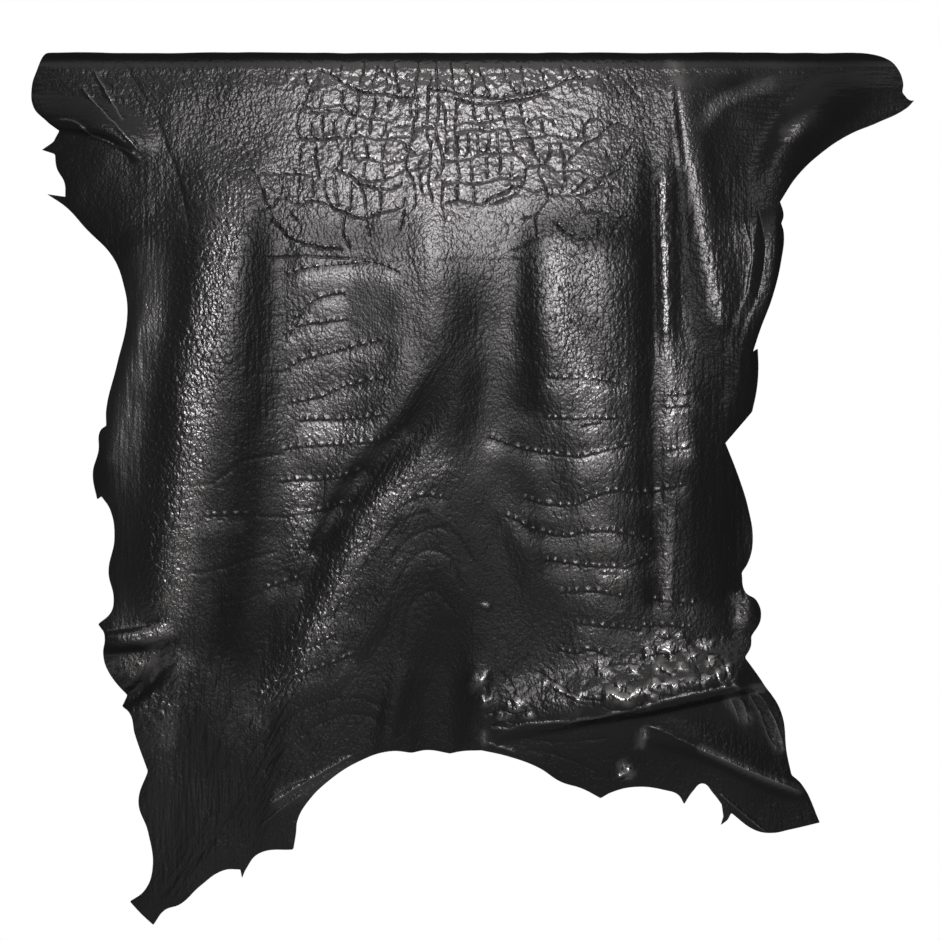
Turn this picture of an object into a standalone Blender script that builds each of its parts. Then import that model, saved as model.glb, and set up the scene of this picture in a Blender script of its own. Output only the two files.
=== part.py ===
"""Black leather hide, hanging folded over a straight rail that is not part of it.

One tanned hide, grain side out. The neck is folded back over the rail and hangs behind.
The forelegs reach out at both top corners, the flanks run down the sides, and the hind
legs hang at the bottom with the tail arch between them.

Metres, +Z up. X runs along the rail, the front faces -Y, and the origin is where the
flesh side touches the top of the rail. A place on the hide is given as (x, fall): fall is
how far it hangs below the crest, and it is negative on the flap behind the rail.
"""
import math
from collections import namedtuple

import bmesh
import bpy
import numpy as np
from mathutils import Vector
from mathutils.geometry import delaunay_2d_cdt

THICKNESS = 0.002
RAIL_RADIUS = 0.020
MID_RADIUS = RAIL_RADIUS + THICKNESS / 2
GRAIN_RADIUS = RAIL_RADIUS + THICKNESS
QUARTER_TURN = MID_RADIUS * math.pi / 2

MM = 0.001
# The sections are laid out in squares: x is 0 in CENTRE_COLUMN, the crest is in CREST_ROW.
SQUARE = 0.00115
CENTRE_COLUMN = 455
CREST_ROW = 52

# Spacing of the points on the sheet, in rows across it and columns down it.
OUTLINE_STEPS = 2
PATH_STEPS = 5
BEND_ROWS = 8
FRONT_ROW = 0.027
BACK_ROW = 0.080
LEG_START = 0.690
LEG_ROW = 0.0135
PLAIN_COLUMN = 0.025
FOLD_COLUMN = 0.0115
FOLD_STRIPS = ((-0.360, -0.190), (0.050, 0.330))
EDGE_MARGIN = 0.004
SAME_POINT = 0.00001
INSIDE_ONLY = 1

SOFT = "AUTO"
SHARP = "VECTOR"

# The edge of the hide, clockwise as seen from the front: (x, fall, kind of point).
OUTLINE = {
    "right foreleg": (
        (0.460, 0.000, SOFT), (0.492, 0.006, SOFT), (0.506, 0.016, SOFT), (0.515, 0.036, SOFT),
        (0.514, 0.048, SHARP), (0.523, 0.057, SOFT), (0.528, 0.057, SHARP), (0.519, 0.066, SOFT),
        (0.485, 0.083, SOFT), (0.454, 0.096, SOFT), (0.423, 0.116, SOFT), (0.393, 0.144, SOFT),
    ),
    "right flank": (
        (0.373, 0.174, SHARP), (0.377, 0.190, SOFT), (0.374, 0.199, SHARP), (0.377, 0.210, SOFT),
        (0.374, 0.240, SOFT), (0.363, 0.285, SOFT), (0.350, 0.320, SOFT), (0.341, 0.347, SHARP),
        (0.347, 0.343, SHARP), (0.348, 0.368, SOFT), (0.346, 0.391, SOFT), (0.341, 0.415, SHARP),
        (0.328, 0.430, SOFT), (0.310, 0.451, SHARP), (0.325, 0.489, SOFT), (0.337, 0.527, SOFT),
        (0.342, 0.563, SOFT), (0.337, 0.587, SOFT), (0.329, 0.600, SHARP), (0.333, 0.622, SOFT),
        (0.346, 0.632, SOFT), (0.351, 0.652, SOFT), (0.340, 0.673, SHARP), (0.339, 0.685, SOFT),
    ),
    "right hind leg": (
        (0.332, 0.697, SHARP), (0.352, 0.725, SOFT), (0.374, 0.759, SOFT), (0.381, 0.808, SOFT),
        (0.386, 0.832, SHARP), (0.398, 0.843, SOFT), (0.419, 0.887, SHARP), (0.385, 0.895, SOFT),
        (0.364, 0.899, SOFT), (0.345, 0.896, SOFT), (0.317, 0.876, SHARP), (0.313, 0.884, SHARP),
        (0.305, 0.890, SHARP), (0.308, 0.880, SHARP), (0.306, 0.866, SHARP), (0.296, 0.853, SOFT),
        (0.284, 0.842, SOFT), (0.273, 0.851, SOFT), (0.263, 0.866, SHARP), (0.256, 0.855, SOFT),
        (0.242, 0.850, SOFT), (0.207, 0.846, SOFT), (0.180, 0.852, SOFT), (0.167, 0.859, SHARP),
    ),
    "tail arch": (
        (0.146, 0.848, SOFT), (0.121, 0.840, SOFT), (0.096, 0.824, SOFT), (0.061, 0.811, SOFT),
        (0.030, 0.804, SHARP), (0.009, 0.805, SOFT), (-0.006, 0.808, SHARP), (-0.032, 0.804, SOFT),
        (-0.050, 0.807, SHARP), (-0.075, 0.805, SOFT), (-0.109, 0.816, SOFT), (-0.144, 0.838, SOFT),
        (-0.170, 0.864, SOFT),
    ),
    "left hind leg": (
        (-0.181, 0.884, SOFT), (-0.183, 0.900, SOFT), (-0.186, 0.918, SHARP), (-0.226, 0.923, SOFT),
        (-0.240, 0.940, SOFT), (-0.245, 0.951, SHARP), (-0.247, 0.941, SHARP), (-0.266, 0.942, SOFT),
        (-0.293, 0.960, SOFT), (-0.316, 0.981, SOFT), (-0.334, 0.988, SOFT), (-0.347, 1.005, SHARP),
        (-0.362, 0.991, SOFT), (-0.374, 0.978, SHARP), (-0.357, 0.965, SOFT), (-0.348, 0.941, SOFT),
        (-0.353, 0.898, SOFT), (-0.364, 0.863, SOFT), (-0.353, 0.828, SHARP), (-0.368, 0.785, SOFT),
        (-0.374, 0.761, SOFT), (-0.383, 0.754, SHARP), (-0.377, 0.741, SHARP), (-0.399, 0.712, SOFT),
    ),
    "left flank": (
        (-0.404, 0.695, SOFT), (-0.402, 0.672, SOFT), (-0.410, 0.659, SHARP), (-0.395, 0.645, SOFT),
        (-0.392, 0.630, SOFT), (-0.398, 0.599, SOFT), (-0.391, 0.560, SOFT), (-0.396, 0.527, SOFT),
        (-0.406, 0.512, SHARP), (-0.411, 0.516, SHARP), (-0.416, 0.486, SOFT), (-0.409, 0.460, SOFT),
        (-0.407, 0.437, SOFT), (-0.400, 0.431, SHARP), (-0.400, 0.412, SOFT), (-0.388, 0.362, SOFT),
        (-0.376, 0.303, SOFT), (-0.381, 0.268, SOFT), (-0.393, 0.238, SOFT), (-0.425, 0.204, SOFT),
    ),
    "left foreleg": (
        (-0.446, 0.181, SOFT), (-0.469, 0.165, SHARP), (-0.448, 0.168, SHARP), (-0.449, 0.152, SOFT),
        (-0.458, 0.135, SOFT), (-0.460, 0.119, SHARP), (-0.475, 0.114, SHARP), (-0.462, 0.105, SHARP),
        (-0.455, 0.092, SHARP), (-0.472, 0.079, SOFT), (-0.484, 0.066, SOFT), (-0.487, 0.042, SOFT),
        (-0.480, 0.019, SOFT),
    ),
    "neck behind the rail": (
        (-0.468, 0.000, SOFT), (-0.437, -0.035, SOFT), (-0.362, -0.098, SOFT), (-0.276, -0.150, SOFT),
        (-0.232, -0.208, SOFT), (-0.223, -0.288, SOFT), (-0.236, -0.352, SOFT), (-0.213, -0.394, SHARP),
        (-0.120, -0.404, SOFT), (-0.020, -0.398, SOFT), (0.080, -0.403, SOFT), (0.167, -0.387, SHARP),
        (0.181, -0.334, SOFT), (0.168, -0.240, SOFT), (0.205, -0.164, SOFT), (0.316, -0.104, SOFT),
        (0.408, -0.048, SOFT),
    ),
}

# Ridges and hollows that run down the front flap, from left to right.
LINES = (
    "left edge", "left swell", "left dip", "roll left", "roll right", "panel foot", "panel middle",
    "trough rim", "trough", "trough ridge", "back slope", "ridge foot", "right ridge left",
    "right ridge right", "right ridge foot", "shoulder ridge", "flank dip", "right edge",
    "foreleg end",
)

# Level sections of the front flap, laid out in squares: the row, then each line's column in it
# and how far the hide stands out from the rail's side there, in millimetres.
Section = namedtuple("Section", "row columns stand_offs")
SECTIONS = (
    Section(52,
            (20, 60, 120, 200, 235, 275, 330, 395, 425, 455, 490, 515, 550, 590, 640, 676, 690, 760, 930),
            (0, 0, 0, 0, 0, 0, 0, 0, 0, 0, 0, 0, 0, 0, 0, 0, 0, 0, 0)),
    Section(100,
            (15, 60, 120, 205, 240, 275, 330, 395, 425, 455, 490, 515, 550, 590, 640, 683, 700, 770, 925),
            (0, 2, 2, 2.5, 2.5, 2.5, 2.5, 2.5, 3, 2.5, 2.5, 2.5, 2.5, 2.5, 2.5, 5, 3, 3, 2)),
    Section(150,
            (30, 80, 135, 212, 248, 278, 330, 395, 428, 455, 490, 515, 550, 592, 640, 692, 712, 775, 900),
            (2, 4, 3.5, 6, 6, 5.5, 5.5, 6, 6.5, 6, 6, 6, 6, 6, 5.5, 8, 3, 5, 2)),
    Section(200,
            (60, 110, 155, 222, 250, 280, 335, 400, 430, 458, 490, 512, 548, 596, 641, 700, 722, 772, 850),
            (4, 6, 5, 12, 13, 9, 9.5, 10, 11, 10, 9.5, 9, 12, 12, 9, 11.5, 4, 8, 3)),
    Section(260,
            (108, 145, 168, 205, 232, 282, 340, 405, 432, 458, 490, 512, 548, 598, 642, 709, 730, 772, 840),
            (7, 11, 10, 20, 21, 10, 12, 13.5, 15, 13.5, 12, 11, 18, 18, 12, 15, 7, 11, 3)),
    Section(330,
            (118, 138, 160, 196, 222, 284, 345, 415, 435, 458, 490, 512, 552, 600, 642, 724, 742, 765, 840),
            (10, 15, 14, 25, 26, 9, 11, 15, 16, 14, 11, 10.5, 21, 21, 14, 15.5, 9, 9, 3)),
    Section(400,
            (98, 124, 148, 186, 210, 288, 340, 405, 432, 455, 488, 520, 566, 602, 644, 728, 745, 760, 840),
            (11, 16, 14.5, 26, 27, 9, 11, 15, 13, 14, 11, 10.5, 22, 22, 15, 14, 9, 7, 3)),
    Section(460,
            (92, 110, 138, 176, 198, 290, 325, 350, 378, 425, 480, 532, 580, 608, 646, 722, 738, 745, 840),
            (10, 15, 14.5, 24, 25, 9, 11, 13, 8, 15, 12.5, 11, 21, 21, 15, 13, 9, 6, 3)),
    Section(520,
            (100, 112, 132, 166, 184, 288, 308, 318, 335, 362, 450, 540, 588, 612, 648, 716, 734, 752, 840),
            (9, 12, 12, 21, 22, 8, 9.5, 10, 6, 16, 12, 11, 20, 20, 14.5, 12, 8, 5, 3)),
    Section(580,
            (96, 112, 130, 160, 176, 276, 288, 294, 308, 335, 430, 540, 590, 612, 646, 714, 736, 752, 840),
            (8, 10, 10.5, 18, 19, 7, 8, 8.5, 5, 15, 10, 11, 18, 18, 14, 12, 8, 6, 3)),
    Section(640,
            (90, 120, 150, 172, 188, 258, 266, 272, 284, 308, 410, 540, 585, 612, 646, 718, 742, 760, 840),
            (8, 12, 11, 14, 15, 6, 6.5, 7, 5, 13, 8, 9, 14, 15, 15, 13, 10, 9, 3)),
    Section(700,
            (110, 135, 160, 185, 200, 250, 257, 262, 272, 288, 400, 500, 560, 605, 650, 730, 755, 775, 840),
            (6, 10, 9, 11, 11, 6, 6, 6.5, 5, 12, 7, 8, 13, 15, 17, 17, 14, 8, 3)),
    Section(760,
            (130, 150, 175, 200, 215, 250, 256, 262, 270, 282, 390, 480, 545, 600, 650, 730, 760, 785, 840),
            (5, 7, 7, 8, 8, 6, 6, 6, 5, 9, 6, 6, 8, 9, 9, 9, 8, 7, 3)),
    Section(830,
            (130, 150, 170, 195, 210, 235, 241, 248, 256, 270, 380, 470, 540, 600, 650, 730, 765, 800, 840),
            (4, 5, 5, 6, 6, 5, 5, 5, 5, 6, 5, 5, 5, 6, 6, 6, 6, 6, 3)),
    Section(930,
            (125, 145, 165, 185, 200, 220, 226, 233, 241, 255, 370, 460, 530, 600, 650, 730, 765, 800, 840),
            (3, 3, 3, 4, 4, 4, 4, 4, 4, 4, 4, 4, 4, 4, 4, 4, 4, 4, 3)),
)

# A fold is a ridge, or with negative heights a trough, along a path of (x, fall, height).
# crest is half the width of its flat top. Its two flanks are near_flank, to the left of a
# fold that runs down or below one that runs to the right, and far_flank on the other side.
Fold = namedtuple("Fold", "name crest near_flank far_flank path")
FOLDS = (
    Fold("left foreleg crease", 0.003, 0.009, 0.030, (
        (-0.477, 0.077, 0.006), (-0.437, 0.084, 0.008), (-0.397, 0.092, 0.008),
        (-0.372, 0.109, 0.006), (-0.359, 0.128, 0.000))),
    Fold("right foreleg ridge", 0.005, 0.026, 0.026, (
        (0.489, 0.032, 0.001), (0.449, 0.046, 0.006), (0.414, 0.074, 0.010),
        (0.389, 0.099, 0.010), (0.369, 0.147, 0.006), (0.360, 0.187, 0.000))),
    Fold("right flank curl", 0.004, 0.018, 0.012, (
        (0.360, 0.176, 0.000), (0.363, 0.216, 0.008), (0.357, 0.274, 0.009),
        (0.337, 0.326, 0.006), (0.330, 0.389, 0.004), (0.316, 0.435, 0.000))),
    Fold("right edge lobe", 0.008, 0.014, 0.014, (
        (0.334, 0.628, 0.000), (0.337, 0.644, 0.008), (0.334, 0.665, 0.006),
        (0.322, 0.676, 0.000))),
    Fold("pouch lip", 0.004, 0.013, 0.045, (
        (0.033, 0.789, 0.000), (0.063, 0.777, 0.006), (0.121, 0.767, 0.010),
        (0.167, 0.758, 0.013), (0.224, 0.749, 0.015), (0.282, 0.736, 0.015),
        (0.330, 0.725, 0.012), (0.351, 0.720, 0.008))),
    Fold("right leg fold", 0.004, 0.012, 0.030, (
        (0.213, 0.780, 0.000), (0.270, 0.797, 0.005), (0.316, 0.815, 0.006),
        (0.368, 0.840, 0.006), (0.397, 0.849, 0.004))),
    Fold("left thigh ridge", 0.004, 0.012, 0.018, (
        (-0.414, 0.682, 0.006), (-0.380, 0.677, 0.008), (-0.351, 0.672, 0.006),
        (-0.325, 0.663, 0.000))),
    Fold("left thigh pinch", 0.003, 0.012, 0.012, (
        (-0.385, 0.749, -0.008), (-0.362, 0.734, -0.008), (-0.342, 0.713, -0.004),
        (-0.328, 0.693, 0.000))),
    Fold("left fold behind", 0.010, 0.050, 0.050, (
        (-0.100, -0.100, 0.000), (-0.110, -0.200, 0.006), (-0.120, -0.410, 0.012))),
    Fold("right fold behind", 0.010, 0.050, 0.050, (
        (0.060, -0.120, 0.000), (0.075, -0.250, 0.006), (0.080, -0.410, 0.011))),
)

LEATHER_BLACK = (0.012, 0.012, 0.012, 1.0)
LEATHER_ROUGHNESS = 0.38


def clear_scene():
    for item in list(bpy.data.objects):
        bpy.data.objects.remove(item, do_unlink=True)


def smoothstep(amount):
    amount = np.clip(amount, 0.0, 1.0)
    return amount * amount * (3.0 - 2.0 * amount)


def length_from_crest(fall):
    """Length along the hide from the crest of the rail down to a given fall."""
    drop = abs(fall)
    if drop < GRAIN_RADIUS:
        length = MID_RADIUS * math.acos(1.0 - drop / GRAIN_RADIUS)
    else:
        length = QUARTER_TURN + drop - GRAIN_RADIUS
    return math.copysign(length, fall)


def flat_outline():
    """The cut edge laid flat, as a loop of points with x along X and length along Y."""
    points = [(x, length_from_crest(fall), kind)
              for stretch in OUTLINE.values() for x, fall, kind in stretch]
    curve = bpy.data.curves.new("outline", "CURVE")
    curve.dimensions = "2D"
    curve.fill_mode = "NONE"
    curve.resolution_u = OUTLINE_STEPS
    spline = curve.splines.new("BEZIER")
    spline.bezier_points.add(len(points) - 1)
    spline.use_cyclic_u = True
    for knot, (x, length, kind) in zip(spline.bezier_points, points):
        knot.co = (x, length, 0.0)
        knot.handle_left_type = kind
        knot.handle_right_type = kind
    holder = bpy.data.objects.new("outline", curve)
    bpy.context.scene.collection.objects.link(holder)
    mesh = bpy.data.meshes.new_from_object(holder)
    loop = np.array([vert.co for vert in mesh.vertices])
    bpy.data.objects.remove(holder)
    bpy.data.curves.remove(curve)
    bpy.data.meshes.remove(mesh)
    return loop


def evenly(start, end, widest):
    """Places from start up to end, no further apart than widest."""
    count = math.ceil((end - start) / widest)
    return [start + (end - start) * step / count for step in range(count)]


def grid_rows(back, front):
    """Lengths from the crest at which rows of points cross the sheet."""
    leg = length_from_crest(LEG_START)
    bend = evenly(-QUARTER_TURN, QUARTER_TURN, 2 * QUARTER_TURN / BEND_ROWS + SAME_POINT)
    return (evenly(back, -QUARTER_TURN, BACK_ROW) + bend
            + evenly(QUARTER_TURN, leg, FRONT_ROW) + evenly(leg, front, LEG_ROW))


def grid_columns(left, right):
    """Places along the rail of the columns of points, close where the long folds run."""
    places = []
    edge = left
    for strip_left, strip_right in FOLD_STRIPS:
        places += evenly(edge, strip_left, PLAIN_COLUMN)
        places += evenly(strip_left, strip_right, FOLD_COLUMN)
        edge = strip_right
    return places + evenly(edge, right, PLAIN_COLUMN)


def nearest_on_path(places, path):
    """From each (x, y) place to a path of (x, y, value): gap, side, and the value there."""
    nearest = np.full(len(places), np.inf)
    side = np.zeros(len(places))
    value = np.zeros(len(places))
    for start, end in zip(path, path[1:]):
        run = (end - start)[:2]
        offset = places - start[:2]
        along = np.clip(offset @ run / (run @ run), 0.0, 1.0)
        gap = np.linalg.norm(offset - along[:, None] * run, axis=1)
        closer = gap < nearest
        nearest = np.where(closer, gap, nearest)
        side = np.where(closer, run[0] * offset[:, 1] - run[1] * offset[:, 0], side)
        value = np.where(closer, start[2] + along * (end[2] - start[2]), value)
    return nearest, side, value


def flat_hide():
    """The hide laid flat: a triangulated sheet with the outline's edge and a grid inside it."""
    loop = flat_outline()
    (left, back, _), (right, front, _) = loop.min(axis=0), loop.max(axis=0)
    grid = np.array([(x, y) for y in grid_rows(back, front) for x in grid_columns(left, right)])
    gap, _, _ = nearest_on_path(grid, np.vstack([loop, loop[:1]]))
    points = [Vector(point) for point in np.vstack([loop[:, :2], grid[gap > EDGE_MARGIN]])]
    edge = list(range(len(loop)))
    verts, _, faces, *_ = delaunay_2d_cdt(points, [], [edge], INSIDE_ONLY, SAME_POINT)
    bm = bmesh.new()
    corners = [bm.verts.new((x, y, 0.0)) for x, y in verts]
    for face in faces:
        bm.faces.new([corners[index] for index in face])
    bmesh.ops.delete(bm, geom=[vert for vert in bm.verts if not vert.link_faces])
    return bm


def smooth_path(path):
    """Points along a smooth curve through the points of a fold's path."""
    knots = np.array(path)
    padded = np.vstack([2 * knots[0] - knots[1], knots, 2 * knots[-1] - knots[-2]])
    points = []
    for before, start, end, after in zip(padded, padded[1:], padded[2:], padded[3:]):
        for part in np.arange(PATH_STEPS) / PATH_STEPS:
            pull = (end - before) * part + (2 * before - 5 * start + 4 * end - after) * part ** 2
            points.append(start + 0.5 * (pull + (3 * start - before - 3 * end + after) * part ** 3))
    return np.array(points + [knots[-1]])


def fold_height(fold, places):
    """How much one fold lifts each place, for an array of (x, fall)."""
    gap, side, height = nearest_on_path(places, smooth_path(fold.path))
    flank = np.where(side > 0.0, fold.near_flank, fold.far_flank)
    return height * (1.0 - smoothstep((gap - fold.crest) / flank))


def curve_through(knots, heights, x):
    """Height at x of a smooth curve through rising knots, level at each of its highs and lows."""
    gaps = np.diff(knots)
    rises = np.diff(heights) / gaps
    level = rises[:-1] * rises[1:] <= 0.0
    before, after = np.where(level, 1.0, rises[:-1]), np.where(level, 1.0, rises[1:])
    near, far = 2 * gaps[1:] + gaps[:-1], gaps[1:] + 2 * gaps[:-1]
    inner = np.where(level, 0.0, (near + far) / (near / before + far / after))
    slopes = np.concatenate([rises[:1], inner, rises[-1:]])
    index = np.clip(np.searchsorted(knots, x) - 1, 0, len(gaps) - 1)
    gap = gaps[index]
    part = np.clip((x - knots[index]) / gap, 0.0, 1.0)
    lift = heights[index] + (heights[index + 1] - heights[index]) * smoothstep(part)
    return lift + gap * part * (1 - part) * (slopes[index] * (1 - part) - slopes[index + 1] * part)


def section_relief(places):
    """Stand-off at each (x, fall) of the smooth surface through the sections."""
    falls = [(section.row - CREST_ROW) * SQUARE for section in SECTIONS]
    knots, heights = [], []
    for line in range(len(LINES)):
        path = [((section.columns[line] - CENTRE_COLUMN) * SQUARE, fall, section.stand_offs[line] * MM)
                for section, fall in zip(SECTIONS, falls)]
        track = smooth_path(path)
        knots.append(np.interp(places[:, 1], track[:, 1], track[:, 0]))
        heights.append(np.interp(places[:, 1], track[:, 1], track[:, 2]))
    return np.array([curve_through(*row) for row in zip(np.array(knots).T, np.array(heights).T,
                                                        places[:, 0])])


def relief(places):
    """How far each place stands out from the rail's side, for an array of (x, fall)."""
    in_front = places[:, 1] > 0.0
    depth = np.where(in_front, section_relief(places), 0.0)
    depth = depth + sum(fold_height(fold, places) for fold in FOLDS)
    drop = np.abs(places[:, 1])
    return np.maximum(depth, 0.0) * smoothstep((drop - GRAIN_RADIUS) / GRAIN_RADIUS)


def hang(bm):
    """Bend the flat sheet over the rail and let both flaps hang in their folds."""
    flat = np.array([vert.co[:2] for vert in bm.verts])
    length = np.abs(flat[:, 1])
    drop = np.maximum(length - QUARTER_TURN, 0.0)
    turn = np.minimum(length, QUARTER_TURN) / MID_RADIUS
    behind = np.sign(flat[:, 1])
    places = np.column_stack([flat[:, 0], behind * (drop + GRAIN_RADIUS)])
    across = -behind * (MID_RADIUS * np.sin(turn) + relief(places))
    height = MID_RADIUS * np.cos(turn) - RAIL_RADIUS - drop
    for vert, x, y, z in zip(bm.verts, flat[:, 0], across, height):
        vert.co = (x, y, z)
    bmesh.ops.recalc_face_normals(bm, faces=bm.faces)


def leather_material():
    material = bpy.data.materials.new("black leather")
    material.use_nodes = True
    shader = material.node_tree.nodes["Principled BSDF"]
    shader.inputs["Base Color"].default_value = LEATHER_BLACK
    shader.inputs["Roughness"].default_value = LEATHER_ROUGHNESS
    shader.inputs["Metallic"].default_value = 0.0
    return material


def make_hide(collection):
    bm = flat_hide()
    hang(bm)
    mesh = bpy.data.meshes.new("hide")
    bm.to_mesh(mesh)
    bm.free()
    mesh.shade_smooth()
    mesh.materials.append(leather_material())
    hide = bpy.data.objects.new("hide", mesh)
    collection.objects.link(hide)
    thickness = hide.modifiers.new("thickness", "SOLIDIFY")
    thickness.thickness = THICKNESS
    thickness.offset = 0.0
    thickness.use_even_offset = True


def main():
    clear_scene()
    collection = bpy.data.collections.new("leather hide")
    bpy.context.scene.collection.children.link(collection)
    make_hide(collection)


main()
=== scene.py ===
"""Looks of the black leather hide that hangs folded over a straight rail.

The hide is one sheet, built twice over the same flat outline: the grain side on fine points
that crowd where it is creased, and the flesh side on coarse ones. Both are bent over the rail
with the folds of the CAD solid, and a raw cut edge joins them.

Metres, +Z up, except in tables that say mm. X runs along the rail and the front faces -Y. A
place on the hide is (x, fall), where fall is how far it hangs below the crest, negative behind
the rail. Creases, strokes and lumps are placed by (column, row) in squares of SQUARE metres
instead, with x = 0 at CENTRE_COLUMN and the crest at CREST_ROW.
"""
import math
from collections import namedtuple

import bpy
import numpy as np
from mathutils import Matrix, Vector
from mathutils.geometry import delaunay_2d_cdt

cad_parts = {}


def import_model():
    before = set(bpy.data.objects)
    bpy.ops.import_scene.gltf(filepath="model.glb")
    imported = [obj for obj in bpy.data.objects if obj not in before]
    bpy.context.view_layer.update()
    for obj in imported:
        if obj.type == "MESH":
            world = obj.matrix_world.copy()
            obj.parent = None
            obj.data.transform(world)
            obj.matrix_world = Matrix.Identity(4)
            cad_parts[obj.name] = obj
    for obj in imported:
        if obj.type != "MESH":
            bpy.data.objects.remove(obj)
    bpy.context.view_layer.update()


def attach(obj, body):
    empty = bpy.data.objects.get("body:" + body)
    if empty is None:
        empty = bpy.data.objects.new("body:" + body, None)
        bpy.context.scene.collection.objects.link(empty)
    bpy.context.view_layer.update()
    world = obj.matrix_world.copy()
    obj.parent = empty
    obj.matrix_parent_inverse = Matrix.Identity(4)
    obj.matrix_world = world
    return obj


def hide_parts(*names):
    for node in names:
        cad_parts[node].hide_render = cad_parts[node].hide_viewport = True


MM = 0.001
THICKNESS = 0.002
RAIL_RADIUS = 0.020
MID_RADIUS = RAIL_RADIUS + THICKNESS / 2
GRAIN_RADIUS = RAIL_RADIUS + THICKNESS
QUARTER_TURN = MID_RADIUS * math.pi / 2

SQUARE = 0.00115
CENTRE_COLUMN = 455
CREST_ROW = 52

# The field is a flat grid of SQUARE metres over the whole sheet: x across, length down.
FIELD_LEFT, FIELD_RIGHT = -0.500, 0.540
FIELD_BACK, FIELD_FRONT = -0.420, 1.030
xs = np.arange(FIELD_LEFT, FIELD_RIGHT, SQUARE)
lengths = np.arange(FIELD_BACK, FIELD_FRONT, SQUARE)
FIELD_SHAPE = (len(lengths), len(xs))
# So many squares short of the field's far sides, a place still has a next one on each side.
NEAR_END = 1.001

OUTLINE_STEPS = 8
EDGE_STEP = 0.0024
PATH_STEPS = 5
SAME_POINT = 0.00001
SHARP_ANGLE = math.radians(60)
SOFT, SHARP = "AUTO", "VECTOR"
# The triangulation's mode that keeps only what lies inside the loop.
INSIDE_ONLY = 1

# The edge of the hide, clockwise as seen from the front: (x, fall) in mm, SHARP at a corner.
OUTLINE = (
    # right foreleg
    (460, 0), (492, 6), (506, 16), (515, 36), (514, 48, SHARP), (523, 57), (528, 57, SHARP), (519, 66),
    (485, 83), (454, 96), (423, 116), (393, 144),
    # right flank
    (373, 174, SHARP), (377, 190), (374, 199, SHARP), (377, 210), (374, 240), (363, 285), (350, 320),
    (341, 347, SHARP), (347, 343, SHARP), (348, 368), (346, 391), (341, 415, SHARP), (328, 430),
    (310, 451, SHARP), (325, 489), (337, 527), (342, 563), (337, 587), (329, 600, SHARP), (333, 622),
    (346, 632), (351, 652), (340, 673, SHARP), (339, 685),
    # right hind leg
    (332, 697, SHARP), (352, 725), (374, 759), (381, 808), (386, 832, SHARP), (398, 843),
    (419, 887, SHARP), (385, 895), (364, 899), (345, 896), (317, 876, SHARP), (313, 884, SHARP),
    (305, 890, SHARP), (308, 880, SHARP), (306, 866, SHARP), (296, 853), (284, 842), (273, 851),
    (263, 866, SHARP), (256, 855), (242, 850), (207, 846), (180, 852), (167, 859, SHARP),
    # tail arch
    (146, 848), (121, 840), (96, 824), (61, 811), (30, 804, SHARP), (9, 805), (-6, 808, SHARP), (-32, 804),
    (-50, 807, SHARP), (-75, 805), (-109, 816), (-144, 838), (-170, 864),
    # left hind leg
    (-181, 884), (-183, 900), (-186, 918, SHARP), (-226, 923), (-240, 940), (-245, 951, SHARP),
    (-247, 941, SHARP), (-266, 942), (-293, 960), (-316, 981), (-334, 988), (-347, 1005, SHARP),
    (-362, 991), (-374, 978, SHARP), (-357, 965), (-348, 941), (-353, 898), (-364, 863),
    (-353, 828, SHARP), (-368, 785), (-374, 761), (-383, 754, SHARP), (-377, 741, SHARP), (-399, 712),
    # left flank
    (-404, 695), (-402, 672), (-410, 659, SHARP), (-395, 645), (-392, 630), (-398, 599), (-391, 560),
    (-396, 527), (-406, 512, SHARP), (-411, 516, SHARP), (-416, 486), (-409, 460), (-407, 437),
    (-400, 431, SHARP), (-400, 412), (-388, 362), (-376, 303), (-381, 268), (-393, 238), (-425, 204),
    # left foreleg
    (-446, 181), (-469, 165, SHARP), (-448, 168, SHARP), (-449, 152), (-458, 135), (-460, 119, SHARP),
    (-475, 114, SHARP), (-462, 105, SHARP), (-455, 92, SHARP), (-472, 79), (-484, 66), (-487, 42),
    (-480, 19),
    # neck behind the rail
    (-468, 0), (-437, -35), (-362, -98), (-276, -150), (-232, -208), (-223, -288), (-236, -352),
    (-213, -394, SHARP), (-120, -404), (-20, -398), (80, -403), (167, -387, SHARP), (181, -334),
    (168, -240), (205, -164), (316, -104), (408, -48),
)

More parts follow.
